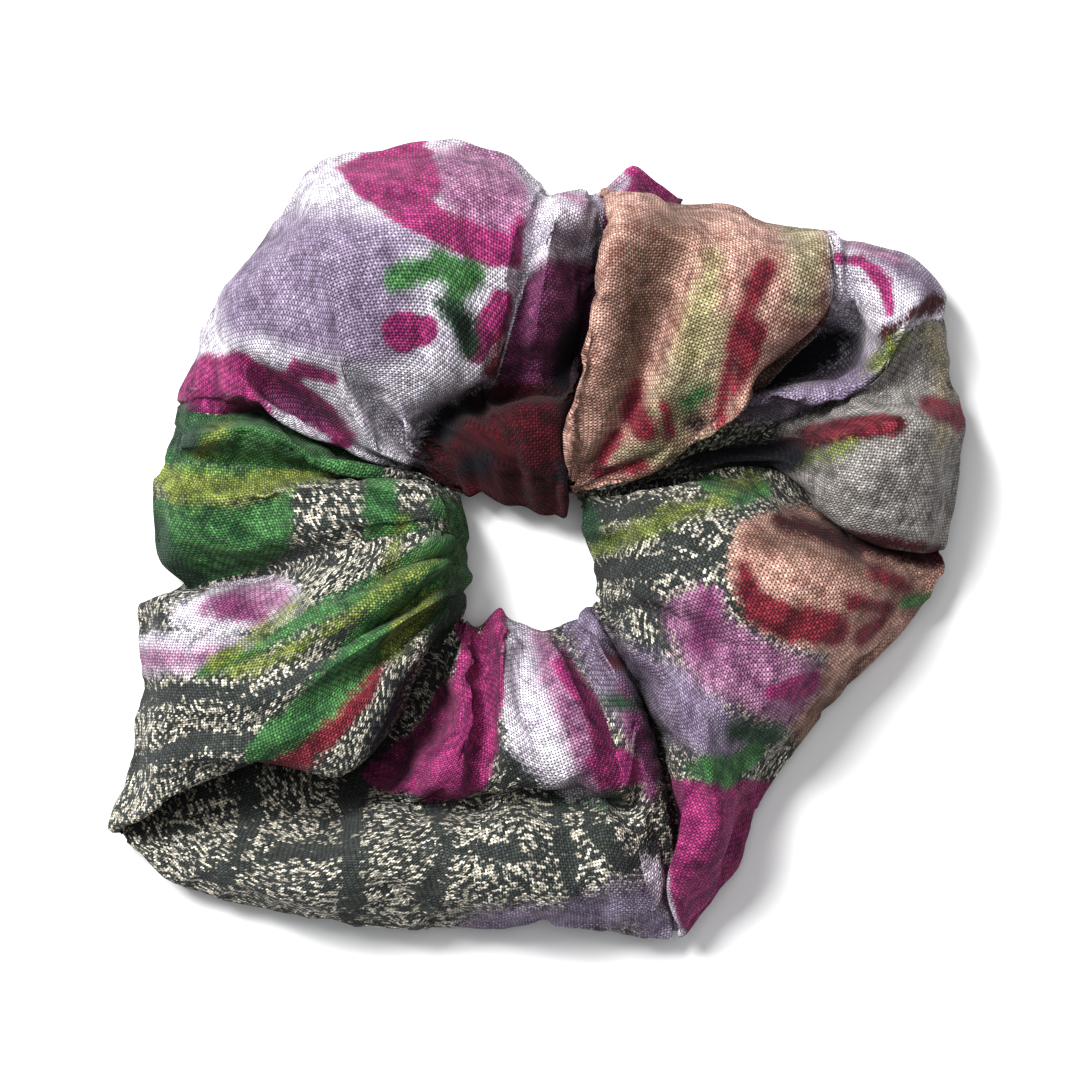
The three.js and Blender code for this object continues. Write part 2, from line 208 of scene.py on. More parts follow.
    ("bottom", [(0, -11.8, 8), (2.1, -15.8, 18), (5.6, -23.4, 21), (7.8, -32.9, 17), (8.3, -35, 11),
        (8.8, -38, 17), (9.6, -43.9, 18), (10.7, -48.4, 15), (11.5, -52.4, 7)]),
    ("dip", [(2.7, -11.8, 7), (5.1, -16, 12), (8.6, -23, 15), (11, -33.2, 15), (11.8, -35.3, 10),
        (12.6, -38.2, 14), (13.6, -44.9, 14), (14.7, -49.2, 12), (15.4, -53.2, 6)]),
    ("bottom_right", [(5.1, -10, 8), (7.8, -14.4, 17), (11.5, -20.7, 18), (14.4, -30.8, 14),
        (15.8, -38.8, 12), (16.6, -44.1, 11), (16.8, -49.2, 9), (17.1, -53.2, 6)]),
    ("dip", [(7, -8.4, 7), (9.6, -13.4, 10), (13.6, -20.3, 8), (17.1, -30.8, 6), (18.7, -38.8, 6),
        (19, -45.5, 6), (19, -49.2, 6), (18.7, -52.7, 5)]),
    ("lower_right", [(7.8, -8, 8), (10.7, -13.4, 17), (14.7, -20.7, 19), (17.1, -30.1, 19),
        (17.6, -38.8, 18), (17.1, -44.8, 16), (18.2, -49.7, 12), (19.3, -53.1, 7)]),
    ("lower_right", [(7.8, -7.2, 8), (12.6, -12, 19), (17.6, -20.1, 22), (20.6, -29.4, 22),
        (21.9, -38.1, 19), (22.2, -43.9, 15), (21.9, -47.5, 11), (21.9, -49.7, 7)]),
    ("lower_right", [(7.5, -5.9, 8), (14, -10, 20), (20.7, -17.6, 23), (24.3, -25.4, 22), (25.9, -31.4, 17),
        (26.7, -34.8, 12), (26.7, -36.4, 7)]),
    ("lower_right", [(7, -3.5, 8), (14.7, -6.7, 22), (23.4, -13.1, 25), (29.7, -19.4, 23),
        (33.4, -23.4, 17), (35, -25.1, 7)]),
    ("lower_right", [(6.3, -1.1, 8), (14.7, -2.7, 22), (24.3, -7.8, 26), (33.4, -12.7, 24),
        (40.1, -15.4, 17), (43.1, -16.6, 7)]),
    ("lower_right", [(5.6, 1.3, 8), (14.7, 1.3, 21), (25.4, -2.7, 25), (36.1, -6.4, 24), (44.8, -8.3, 17),
        (49.7, -9.9, 7)]),
    ("lower_right", [(5.2, 3.5, 8), (14.7, 4.3, 16), (25.4, 2.9, 20), (36.1, -1.6, 22), (45.5, -4.3, 17),
        (53.2, -6.2, 7)]),
    ("lower_right", [(5.1, 4.9, 8), (14.7, 6.2, 8), (26.1, 6.7, 8), (36.1, 2.1, 12), (44.8, -1.2, 13),
        (54.1, -2.1, 6)]),
]
SPACING = 1.04  # between columns of points, where the ribs are furthest apart
ACROSS_TOP, ACROSS_UNDER = 92, 36  # points round the tube
CLOTH = 0.4  # thickness
BACK_STEP = 4  # the back of the cloth has one point for this many on its face
SPARE_CLOTH = 0.045  # the share of cloth that the folds don't use, which buckles when it settles
SETTLING_FRAMES, MOST_MOVE = 16, 1.5  # no point of the cloth settles further than this
LEAST_ROOM = 3.7  # the tube is nowhere flatter than this over the elastic
OPENING = np.array([-1.6, -3.3])  # centre of the hair opening


def rounded(points, count, closed=False):
    """A smooth line through points, as count points spaced evenly along it."""
    points = np.asarray(points, float)
    if closed:
        ends = np.vstack([points[-1], points, points[:2]])
    else:
        ends = np.vstack([2 * points[0] - points[1], points, 2 * points[-1] - points[-2]])
    fine = np.linspace(0, 1, 24, endpoint=False)[:, None]
    run = [between(*ends[i : i + 4], fine) for i in range(len(ends) - 3)]
    line = np.vstack(run + [ends[-2][None]])
    along = distances(line)
    at = np.linspace(0, along[-1], count)
    return np.stack([np.interp(at, along, line[:, k]) for k in range(3)], axis=1)


def distances(line):
    """How far along a line each of its points lies."""
    return np.concatenate([[0], np.cumsum(np.linalg.norm(np.diff(line, axis=0), axis=1))])


def between(a, b, c, d, t):
    """The centripetal Catmull-Rom curve from b to c. Points may be rows of many curves."""
    def gap(p, q):
        return np.maximum(np.linalg.norm(q - p, axis=-1, keepdims=True), 1e-3) ** 0.5

    t1 = gap(a, b)
    t2 = t1 + gap(b, c)
    t3 = t2 + gap(c, d)
    u = t1 + t * (t2 - t1)
    ab = (t1 - u) / t1 * a + u / t1 * b
    bc = (t2 - u) / (t2 - t1) * b + (u - t1) / (t2 - t1) * c
    cd = (t3 - u) / (t3 - t2) * c + (u - t2) / (t3 - t2) * d
    abc = (t2 - u) / t2 * ab + u / t2 * bc
    bcd = (t3 - u) / (t3 - t1) * bc + (u - t1) / (t3 - t1) * cd
    return (t2 - u) / (t2 - t1) * abc + (u - t1) / (t2 - t1) * bcd


def evened(points):
    """Plan points round the opening, made to go steadily round it, with no step back."""
    off = points - OPENING
    angle = np.unwrap(np.arctan2(off[:, 1], off[:, 0]))
    reach = np.linalg.norm(off, axis=1)
    count = len(points)
    turns = np.arange(-4, 5)
    share = np.exp(-((turns / 2.2) ** 2))
    share /= share.sum()
    index = np.arange(count)[:, None] + turns
    angle = (angle[index % count] + 2 * np.pi * (index // count)) @ share
    reach = reach[index % count] @ share * 0.5 + reach * 0.5
    return OPENING + reach[:, None] * np.stack([np.cos(angle), np.sin(angle)], axis=1)


def tube_grid():
    """The tube's surface as a grid of points [along, round], each column's fold, and where folds meet."""
    tops = np.array([rounded(points, ACROSS_TOP) for _, points in RIBS])
    inner, outer = evened(tops[:, 0, :2]), evened(tops[:, -1, :2])
    ribs = []
    for top, near, far in zip(tops, inner, outer):
        way = (far - near) / np.linalg.norm(far - near)
        under = [
            top[-1],
            np.append(far - 1.2 * way, 2.6),
            np.append(far - 5 * way, 0.9),
            np.append(far * 0.6 + near * 0.4, 0.7),
            np.append(far * 0.3 + near * 0.7, 0.8),
            np.append(near + 4 * way, 1.2),
            np.append(near + 0.8 * way, 3.4),
            top[0],
        ]
        ribs.append(np.vstack([top, rounded(under, ACROSS_UNDER + 2)[1:-1]]))
    ribs = np.array(ribs)
    columns, folds, seams = [], [], []
    count = len(ribs)
    for i in range(count):
        a, b, c, d = (ribs[(i + k) % count] for k in (-1, 0, 1, 2))
        here, after = RIBS[i][0], RIBS[(i + 1) % count][0]
        fold = after if here == "dip" else here
        steps = max(2, math.ceil(np.linalg.norm(c - b, axis=1).max() / SPACING))
        if here == "dip":
            seams.append(len(columns))
        for k in range(steps):
            columns.append(between(a, b, c, d, k / steps))
            folds.append(fold)
    return np.array(columns), folds, seams


def outward(grid):
    """Unit normals of the grid."""
    along = np.roll(grid, -1, 0) - np.roll(grid, 1, 0)
    round_it = np.roll(grid, -1, 1) - np.roll(grid, 1, 1)
    n = np.cross(round_it, along)
    return n / np.maximum(np.linalg.norm(n, axis=2, keepdims=True), 1e-9)


grid, folds, seams = tube_grid()
COLUMNS, ROUND = grid.shape[:2]


def chart(grid, seams):
    """How far each point lies along its fold's cloth from its middle rib, and how far round the tube."""
    edges = np.linalg.norm(np.roll(grid, -1, 0) - grid, axis=2)
    charts = []
    for k, start in enumerate(seams):
        end = seams[(k + 1) % len(seams)]
        length = (end - start) % COLUMNS
        index = (start + np.arange(length + 1)) % COLUMNS
        along = np.vstack([np.zeros(ROUND), np.cumsum(edges[index[:-1]], axis=0)])
        middle = length // 2
        along = along - along[middle]
        ring = grid[index[middle]]
        charts.append((index, along, distances(np.vstack([ring, ring[:1]])), k))
    return charts


def cloth_mesh(name, grid, charts):
    """A closed double skin: the cloth's printed face, and its back one thickness in."""
    back = (grid - CLOTH * outward(grid))[:, ::BACK_STEP]
    verts = (np.vstack([grid.reshape(-1, 3), back.reshape(-1, 3)]) * MM).tolist()
    faces, uvs = [], []
    for index, along, across, k in charts:
        off = 137.0 * k
        for c in range(len(index) - 1):
            a, b = index[c], index[c + 1]
            for step, first in ((1, 0), (BACK_STEP, COLUMNS * ROUND)):
                rows = ROUND // step
                for i in range(rows):
                    r, q, j = i * step, (i + 1) * step, (i + 1) % rows
                    corners = [(a, c, i, r), (a, c, j, q), (b, c + 1, j, q), (b, c + 1, i, r)]
                    for column, chart_column, row, turn in corners if step == 1 else corners[::-1]:
                        faces.append(first + column * rows + row)
                        uvs.append((along[chart_column, turn % ROUND] + off, across[turn]))
    mesh = bpy.data.meshes.new(name)
    mesh.from_pydata(verts, [], np.array(faces).reshape(-1, 4).tolist())
    layer = mesh.uv_layers.new(name="weave")
    layer.data.foreach_set("uv", np.array(uvs, np.float32).ravel())
    mesh.polygons.foreach_set("use_smooth", np.ones(len(mesh.polygons), bool))
    mesh.update()
    return mesh


def ruffled(grid):
    """The cloth's gathers out from the hair opening, long soft wrinkles across the folds, and slight rumple.

    It also gives the points that lie over the elastic.
    """
    normals = outward(grid)
    along, near = distances(grid[:, ACROSS_TOP // 2]), distances(grid[:, 0])
    steps = np.linalg.norm(np.roll(grid, -1, 1) - grid, axis=2)
    across = np.cumsum(steps, axis=1) - steps
    whole = across[:, -1:] + steps[:, -1:]
    from_opening = np.minimum(across, whole - across)
    lift = np.zeros(grid.shape[:2])
    for c in range(COLUMNS):
        for r in range(ROUND):
            d = from_opening[c, r]
            fine = noise.noise((near[c] * 0.55, d * 0.04, 8.2))
            gather = 0.5 - 1.7 * abs(noise.noise((near[c] * 0.24, d * 0.025, 3.1))) + 0.4 * fine
            wrinkle = 0.35 - abs(noise.noise((along[c] * 0.09, d * 0.03, 21.7)))
            rumple = noise.noise((along[c] * 0.12, across[c, r] * 0.1, 40.3))
            lift[c, r] = 2.2 * min(1, d / 7) * math.exp(-d / 20) * gather + 1.5 * wrinkle + 0.6 * rumple
    fade = np.ones(ROUND)
    fade[ACROSS_TOP + 3 : -6] = 0.45
    grid = grid - (lift * fade)[..., None] * normals
    return grid, (np.arange(ROUND) < ACROSS_TOP - 6) & (from_opening > 3)


def settled(grid):
    """The grid after cloth simulation: a coarser copy, with spare cloth and air, buckles between creases."""
    scale = 10 * MM
    coarse = grid[::2, ::2]
    across, rows = coarse.shape[:2]
    at = np.arange(across * rows).reshape(across, rows)
    beside = np.roll(at, -1, 0)
    faces = np.stack([at, np.roll(at, -1, 1), np.roll(beside, -1, 1), beside], axis=-1)
    mesh = bpy.data.meshes.new("settling")
    mesh.from_pydata((coarse.reshape(-1, 3) * scale).tolist(), [], faces.reshape(-1, 4).tolist())
    piece = bpy.data.objects.new("settling", mesh)
    bpy.context.collection.objects.link(piece)
    # How firmly each point keeps its place: softly on the folds, and firmly at the opening, below and in creases.
    held = np.full((across, rows), 0.12)
    held[:, :3] = held[:, -3:] = 1.0
    held[:, ACROSS_TOP // 2 - 4 : ACROSS_TOP // 2 + 2] = 0.4
    held[:, ACROSS_TOP // 2 + 2 : -3] = 0.9
    for seam in seams:
        for step in range(-2, 3):
            column = (seam // 2 + step) % across
            held[column] = np.maximum(held[column], 1.0 - 0.2 * abs(step))
    group = piece.vertex_groups.new(name="held")
    for weight in np.unique(held):
        group.add(at[held == weight].tolist(), float(weight), "REPLACE")
    cloth = piece.modifiers.new("cloth", "CLOTH").settings
    cloth.quality = 6
    cloth.mass = 0.2
    cloth.tension_stiffness = cloth.compression_stiffness = 18
    cloth.shear_stiffness = 6
    cloth.bending_stiffness = 1.0
    cloth.tension_damping = cloth.compression_damping = 12
    cloth.bending_damping = 1
    cloth.vertex_group_mass = "held"
    cloth.pin_stiffness = 1.2
    cloth.shrink_min = -SPARE_CLOTH
    cloth.use_pressure = True
    cloth.uniform_pressure_force = 0.4
    cloth.effector_weights.gravity = 0
    for number in range(1, SETTLING_FRAMES + 1):
        bpy.context.scene.frame_set(number)
    done = piece.evaluated_get(bpy.context.evaluated_depsgraph_get()).to_mesh()
    moved = np.empty(across * rows * 3)
    done.vertices.foreach_get("co", moved)
    moved = moved.reshape(across, rows, 3) / scale - coarse
    bpy.data.objects.remove(piece)
    bpy.data.meshes.remove(mesh)
    bpy.context.scene.frame_set(1)
    # The moves are capped, then spread to the points between.
    far = np.linalg.norm(moved, axis=2, keepdims=True)
    moved *= np.minimum(1, MOST_MOVE / np.maximum(far, 1e-6))
    full = np.empty_like(grid)
    full[::2, ::2] = moved
    full[1::2, ::2] = ((moved + np.roll(moved, -1, 0)) / 2)[: COLUMNS // 2]
    full[:, 1::2] = (full[:, ::2] + np.roll(full[:, ::2], -1, 1)) / 2
    return grid + full


grid, over_elastic = ruffled(grid)
grid = settled(grid)
grid[..., 2] = np.where(over_elastic, np.maximum(grid[..., 2], LEAST_ROOM), grid[..., 2])
grid[..., :2] *= 1.012
grid[..., 2] = np.maximum(grid[..., 2], 0.5)
charts = chart(grid, seams)
mesh = cloth_mesh("cover", grid, charts)
cover = bpy.data.objects.new("cover", mesh)
bpy.context.collection.objects.link(cover)


# ---- The print ----

# Brush marks as (paint, folds, points), where a point is (x, y, half width), and below them patches of paint
# with (x, y) corners. Some of the ink and fawn marks are not print but painted shade in creases, pits and shaded
# folds.
STROKES = [
    ("pink", "top_left", [(-13.4, 49.5, 3.2), (-8.3, 48.4, 5.6), (-5.9, 43.9, 4.8)]),
    ("magenta", "top_left", [(-16.3, 49.7, 1.2), (-14.7, 46.8, 1.3)]),
    ("magenta", "top_left", [(-2.7, 42.1, 0.5), (-3.7, 38.8, 1.6)]),
    ("magenta", "top_left", [(-22.5, 49.5, 2.4), (-19.8, 46, 2.7), (-15.5, 42.5, 2.3), (-9.4, 39.3, 2),
        (-4, 38.2, 1.9)]),
    ("magenta", "top_left", [(-19, 52.1, 2.1), (-15.5, 51.1, 1.6), (-14.4, 47.6, 1.2)]),
    ("leaf", "top_left", [(-18.7, 34.2, 1.3), (-14.7, 35.6, 1.6), (-8.8, 35.3, 1.3)]),
    ("leaf", "top_left", [(-13.6, 37.4, 1.2), (-10.2, 34.2, 2.3)]),
    ("leaf", "top_left", [(-11, 32.9, 1.6), (-11.8, 29.4, 1.2)]),
    ("forest", "top_left", [(-12.6, 31, 1.3), (-10.4, 28.6, 2), (-9.6, 26.2, 1.5)]),
    ("ink", "top_left", [(-11.8, 30.5, 0.4), (-10.2, 28.3, 0.9)]),
    ("magenta", "top_left", [(-17.9, 27.1, 2.3), (-15.2, 27.7, 2)]),
    ("magenta", "top_left", [(-5.1, 31.4, 1.3), (-6.7, 28.1, 2), (-8.3, 25.1, 1.1)]),
    ("crimson", "top_left", [(-5.3, 26.1, 0.5), (-6.3, 22.5, 0.7)]),
    ("magenta", "top_left", [(-48.1, 22.1, 2.1), (-40.8, 21.7, 2.8), (-34.1, 20.1, 2.3), (-29.7, 17.4, 1.9),
        (-26.1, 13.1, 1.2)]),
    ("magenta", "top_left", [(-32.1, 22.5, 1.1), (-27.5, 21.4, 0.9)]),
    ("magenta", "top_left", [(-48.1, 19, 2.4), (-41.4, 17.6, 2.1), (-37.2, 17.1, 1.3)]),
    ("plum", "top_left", [(-36.1, 19, 0.8), (-32.1, 17.9, 1.2), (-28.1, 16.3, 1.1)]),
    ("forest", "left_roll", [(-50.8, 14.4, 2.4), (-47.1, 13.9, 1.9)]),
    ("forest", "top_left left_roll", [(-50.8, 17.1, 1.2), (-47.3, 17.1, 1.1)]),
    ("crimson", "left_roll", [(-32.1, 11.2, 1.5), (-27.4, 11, 1.5), (-24.1, 11, 1.1)]),
    ("lime", "left_roll", [(-45.5, 12, 1.1), (-42.1, 14.7, 0.7)]),
    ("leaf", "left left_roll", [(-52.1, 9.9, 1.6), (-46.8, 9.1, 1.2), (-40.1, 8.8, 1.1), (-33.4, 9.1, 0.9),
        (-26.7, 9.9, 0.7)]),
    ("lime", "left", [(-52.1, 9.6, 1.6), (-47.5, 7, 2), (-40.1, 6.7, 1.9), (-32.1, 9.1, 1.3),
        (-25.7, 10.2, 0.7)]),
    ("leaf", "left", [(-20.9, 11.4, 1.6), (-21.4, 5.3, 2), (-19.8, 0, 3.2), (-14.7, -2.7, 3.5)]),
    ("leaf", "left", [(-13.4, 4.7, 1.1), (-10.4, 2.7, 1.9), (-9.4, -2.7, 2.1)]),
    ("leaf", "left_lower", [(-10.4, -1.1, 3.2), (-15.4, -6, 4.5), (-21.4, -12.7, 2.7), (-28.1, -20.1, 2.3),
        (-34.1, -25.7, 2.3), (-37.2, -28.1, 1.3)]),
    ("leaf", "left_lower", [(-13.4, -3.7, 1.9), (-22.5, -7, 1.6), (-30.8, -10.4, 1.2), (-38.5, -15, 0.8),
        (-44.8, -17.6, 0.4)]),
    ("lime", "left_lower", [(-14.4, -2.7, 0.4), (-22.5, -8, 0.5), (-30.8, -13.6, 0.5),
        (-40.1, -17.4, 0.7)]),
    ("lime", "left left_lower", [(-18.2, 2.9, 0.3), (-20.3, -5.3, 0.4)]),
    ("lime", "left_lower", [(-31.8, -8, 0.5), (-38.5, -13.4, 0.5), (-43.3, -16.6, 0.4)]),
    ("lime", "left_lower", [(-13.4, -8, 0.8), (-17.6, -11, 1.9), (-19.8, -14.7, 1.2)]),
    ("forest", "left_lower", [(-11.8, -8.8, 1.6), (-13.4, -13.4, 1.3)]),
    ("pale", "left_lower", [(-47.3, -9.9, 1.9), (-40.4, -8.4, 3.6), (-34.2, -8.3, 2.7)]),
    ("pink", "left_lower", [(-44.7, -8.8, 0.8), (-40.1, -8, 1.9), (-34.8, -8, 1.7)]),
    ("plum", "left_lower", [(-41.7, -8.8, 1.2), (-37.2, -10.4, 1.1)]),
    ("pale", "left_lower", [(-54.8, -15.5, 2.7), (-45.5, -15, 2.1), (-39.3, -14.2, 1.3)]),
    ("pink", "left_lower", [(-54.8, -16, 1.5), (-45.5, -15.6, 1.1), (-40.1, -15, 0.5)]),
    ("crimson", "left_lower", [(-20.6, -13.4, 0.9), (-23.3, -18.5, 2.1), (-28.1, -23.8, 2.4),
        (-32.1, -28.1, 2.4), (-36.1, -30.2, 1.3)]),
    # Painted shadow: dark paint in the fold's shade beside the red mark.
    ("ink", "left_lower", [(-18.2, -17.6, 0.4), (-19.5, -22.5, 0.9), (-22.2, -27.5, 1.2)]),
    ("slate", "left_lower", [(-54.8, -21.4, 0.8), (-45.5, -20.1, 0.8), (-37.2, -21.7, 0.8),
        (-28.6, -16.3, 0.7)]),
    ("slate", "left_lower", [(-56.2, -30.8, 0.8), (-46, -27, 1.2), (-38, -26.5, 0.8)]),
    ("slate", "left_lower", [(-50.8, -10.2, 0.5), (-52.1, -13.4, 0.7), (-47.3, -13.4, 0.5)]),
    ("slate", "left_lower", [(-28.1, -13.4, 0.7), (-21.4, -8, 0.8)]),
    ("slate", "left", [(-39.3, -2.7, 1.1), (-32.1, -1.6, 0.9), (-25.4, -2.1, 0.9)]),
    ("slate", "left", [(-22.5, 9.4, 0.8), (-18.5, 2.7, 0.9), (-12, 4, 0.7)]),
    ("slate", "bottom_left bottom", [(-26.1, -33.4, 1.1), (-25, -42.8, 1.2), (-25.9, -52.1, 1.2)]),
    ("slate", "bottom_left", [(-45.5, -45.5, 0.7), (-33.4, -41.7, 0.8), (-25.4, -42.2, 0.5)]),
    ("slate", "bottom_left bottom", [(-24.7, -42.5, 0.5), (-14.7, -41.2, 0.5), (1.1, -42.2, 0.7)]),
    ("slate", "bottom_left", [(-40.4, -30.8, 1.2), (-39.3, -38.8, 1.2), (-42.2, -45.5, 1.1)]),
    ("slate", "bottom_left bottom", [(-14.4, -34.8, 0.9), (-12.6, -41.4, 0.9), (-14.7, -48.8, 1.1)]),
    ("slate", "bottom", [(2.1, -33.7, 0.9), (2.9, -41.4, 1.2), (5.6, -51.5, 0.9)]),
    ("slate", "bottom bottom_right", [(6.7, -37.7, 0.8), (11.2, -43.1, 0.9), (15.4, -41.7, 0.7)]),
    ("slate", "bottom", [(-9.4, -30.8, 0.9), (-5.3, -27.4, 0.8), (-1.3, -31.4, 1.1)]),
    ("slate", "bottom_left", [(-28.1, -24.1, 1.6), (-21.4, -29.4, 1.3), (-25.4, -33.4, 1.6)]),
    ("pink", "bottom", [(-0.3, -12.8, 1.1), (2.7, -18.7, 2), (5.9, -26.7, 2.3), (7, -32.1, 1.6)]),
    ("magenta", "bottom", [(2.9, -16.3, 0.8), (6.2, -21.7, 1.2), (8.8, -27, 1.7), (9.6, -31.6, 1.7)]),
    ("magenta", "bottom bottom_right", [(8, -29.7, 1.7), (13.4, -31, 1.9)]),
    ("plum", "bottom bottom_right lower_right", [(11, -20.1, 0.8), (13.4, -25.4, 1.6), (15, -33.4, 1.2)]),
    ("forest", "bottom bottom_right", [(9.6, -21.4, 1.1), (13.4, -22.1, 0.8)]),
    ("forest", "bottom", [(2.1, -34.8, 0.5), (8, -35.3, 0.7), (13.1, -34.1, 0.5)]),
    ("lilac", "bottom bottom_right bottom_left", [(-8, -53.5, 2.9), (2.7, -51.6, 2.7), (13.4, -48.8, 2.7),
        (15.5, -52.8, 2.1)]),
    ("crimson", "bottom_right", [(9.1, -16, 0.7), (11, -16.6, 0.5)]),
    ("crimson", "lower_right", [(25.9, -5.6, 0.7), (28.6, -8.8, 2), (33.4, -11.2, 2.4), (39, -12, 2)]),
    ("crimson", "lower_right", [(26.9, -3.5, 0.7), (27.5, -6.7, 1.9)]),
    ("wine", "lower_right", [(27.3, -7, 0.7), (30.5, -8.6, 0.8)]),
    ("crimson", "lower_right", [(45.5, -4.5, 1.1), (49.2, -6.4, 0.8)]),
    ("crimson", "lower_right", [(41.4, -8.3, 0.5), (46.5, -9.1, 0.7)]),
    ("crimson", "lower_right", [(43.3, -12.8, 1.2), (46, -11.2, 0.5)]),
    ("leaf", "lower_right", [(49.7, -8.3, 0.7), (52.9, -7.8, 0.7)]),
    ("forest", "lower_right", [(5.3, 6.4, 1.1), (6.4, 0.8, 1.2)]),
    ("lime", "lower_right", [(7.8, -0.9, 0.9), (13.4, 1.1, 0.8), (20.1, 4.3, 0.8), (24.3, 5.3, 0.7)]),
    ("leaf", "lower_right", [(23, 7.8, 1.2), (26.2, 5.9, 1.6), (29.9, 7, 1.2)]),
    ("lime", "lower_right", [(26.2, 7.5, 0.7), (28.9, 8.3, 0.7)]),
    ("plum", "lower_right", [(22.2, -7.5, 1.3), (21.4, -13.4, 1.6)]),
    ("magenta", "lower_right", [(31, -20.1, 1.1), (33.7, -19.5, 1.6), (36.4, -18.5, 1.1)]),
    ("leaf", "lower_right", [(21.1, -30.5, 1.6), (25.4, -31, 1.6), (28.9, -28.3, 1.3)]),
    ("forest", "lower_right", [(26.2, -25.4, 1.1), (30.8, -26.1, 1.3)]),
    ("slate", "lower_right", [(8, -4.3, 1.1), (14.7, -3.5, 1.2), (20.3, -3.5, 1.2), (24.6, -1.1, 0.8)]),
    ("slate", "lower_right", [(15.5, 1.6, 0.5), (21.4, -1.6, 0.7)]),
    ("slate", "lower_right", [(10.2, -9.6, 0.8), (13.4, -7, 0.9), (17.1, -10.7, 0.9), (15.5, -15, 0.8)]),
    ("slate", "lower_right", [(8, 3.7, 0.8), (13.4, 4.3, 0.9), (17.1, 3.7, 0.7)]),
    ("straw", "top_right", [(23, 37.2, 0.8), (21.9, 32.1, 1.5), (20.1, 25.4, 1.7)]),
    ("pale", "top_right", [(39.8, 41.4, 0.9), (39.6, 33.2, 0.8)]),
    ("fawn", "top_right", [(20.1, 43.9, 1.6), (16.6, 40.9, 3.2), (13.6, 34.5, 4.1), (11.8, 26.5, 3.3),
        (9.1, 18.2, 1.9)]),
    ("cream", "top_right", [(35, 42.5, 2.4), (35.8, 37.2, 2.3), (34.8, 31.3, 1.7)]),
    ("cream", "top_right", [(24.1, 28.1, 1.9), (20.6, 21.9, 3.7), (16.6, 15.2, 3.2)]),
    ("crimson", "top_right", [(30.1, 35.8, 1.1), (28.3, 32.9, 1.6), (26.5, 28.1, 1.2), (25.1, 22.7, 0.9),
        (23.8, 16, 0.7)]),
    ("crimson", "top_right", [(28.5, 27.8, 1.5), (27.8, 24.3, 1.2), (25.7, 19.8, 0.8)]),
    ("leaf", "top_right", [(20.1, 18.5, 1.5), (21.9, 19.8, 1.2)]),
    ("ink", "top_right", [(20.6, 15.8, 1.2), (21.4, 15.5, 1.1)]),
    ("crimson", "top_right", [(12.8, 20.9, 0.7), (12, 17.6, 1.2), (14.2, 14.7, 1.1)]),
    ("crimson", "top_right", [(10.2, 13.9, 0.7), (8, 10.4, 0.7)]),
    ("crimson", "top_right", [(16.6, 18.2, 0.4), (17.6, 14.2, 0.5)]),
    ("cream", "top_right", [(8.7, 11.4, 1.1), (16, 11.5, 1.3), (24.3, 13.4, 1.1)]),
    ("crimson", "top_right", [(8, 9.1, 0.8), (13.4, 9.9, 0.8)]),
    ("pink", "top_peak", [(8, 45.7, 0.4), (11, 49.2, 0.4)]),
    ("wine", "top_peak top_tuck", [(4, 13.4, 0.8), (4.7, 8, 1.1)]),
    ("pink", "top_tuck", [(3.7, 46.5, 0.5), (6.2, 45.2, 0.8)]),
    ("lilac", "top_tuck", [(1.6, 41.2, 0.5), (5.3, 39.6, 0.8)]),
    # Painted shadow: dark paint in the shaded lower part of the tucked fold.
    ("ink", "top_tuck", [(4.5, 28.7, 0.9), (3.5, 24.1, 1.6), (2.1, 20.3, 1.2)]),
    ("ink", "top_left top_tuck", [(-9.9, 9.9, 1.3), (-7.2, 10.7, 1.2)]),
    # Painted shadow: dark paint in the pocket under the top-left fold's edge.
    ("ink", "top_left top_tuck", [(-16.8, 10.7, 0.9), (-14.2, 14.2, 1.6), (-10.4, 18.2, 1.1),
        (-6.4, 19.7, 0.5)]),
    # Painted shade: dark paint along the tucked fold's edge beside the top-right fold.
    ("ink", "top_tuck", [(3.2, 18.7, 0.3), (4, 13.4, 0.7), (3.2, 8.8, 0.5)]),
    ("magenta", "right_upper", [(39.3, 37.7, 0.8), (43.1, 37.2, 1.1), (45.7, 34.2, 1.2),
        (46.8, 30.5, 0.7)]),
    ("pink", "right_upper", [(41.4, 40.1, 0.7), (48.1, 38, 0.8)]),
    ("lilac", "right_upper", [(46.8, 37.2, 1.9), (52.1, 34.5, 2.4)]),
    ("wine", "right_upper right", [(46, 27.3, 0.7), (50.1, 30.5, 0.8), (54.1, 32.4, 0.9)]),
    ("lilac", "right_upper", [(28.3, 18.5, 2.1), (37.4, 18.5, 2.7), (43.6, 23, 2.1)]),
    ("lime", "right_upper right", [(44.4, 23, 0.5), (48.7, 27.5, 0.5)]),
    ("crimson", "right", [(51.5, 18, 1.3), (56.2, 16.8, 1.7)]),
    ("cream", "right", [(52.9, 28.1, 1.1), (54.8, 21.4, 1.2), (53.5, 13.4, 0.8)]),
    ("tan", "right", [(45.5, 4.7, 1.9), (52.1, 6, 1.6), (55.5, 9.4, 1.3)]),
    # Painted shadow: dark paint in the deep crease under the top-right fold's lower edge.
    ("ink", "right", [(21.4, 11.8, 2.1), (33.4, 11.2, 2.3)]),
    ("wine", "right", [(33.4, 12.6, 1.6), (40.1, 14.4, 1.5), (47.1, 15.5, 0.9)]),
    ("crimson", "right", [(37.4, 14.4, 1.1), (45.5, 15.4, 0.9)]),
    ("lime", "right", [(34.8, 10.4, 0.4), (41.4, 12.6, 0.4)]),
    # Painted shadow: dark paint in the pit between the top-right and upper-right folds.
    ("ink", "right_upper", [(31, 22.2, 2.1), (35.6, 24.9, 2.7), (40.6, 27, 2.1)]),
    ("forest", "left", [(-52.1, 1.3, 1.3), (-48.8, -4.7, 1.9), (-45.5, -6.7, 1.3)]),
    ("wine", "lower_right", [(32.1, 2.7, 1.1), (42.8, -0.7, 1.1), (54.1, -2.1, 1.2)]),
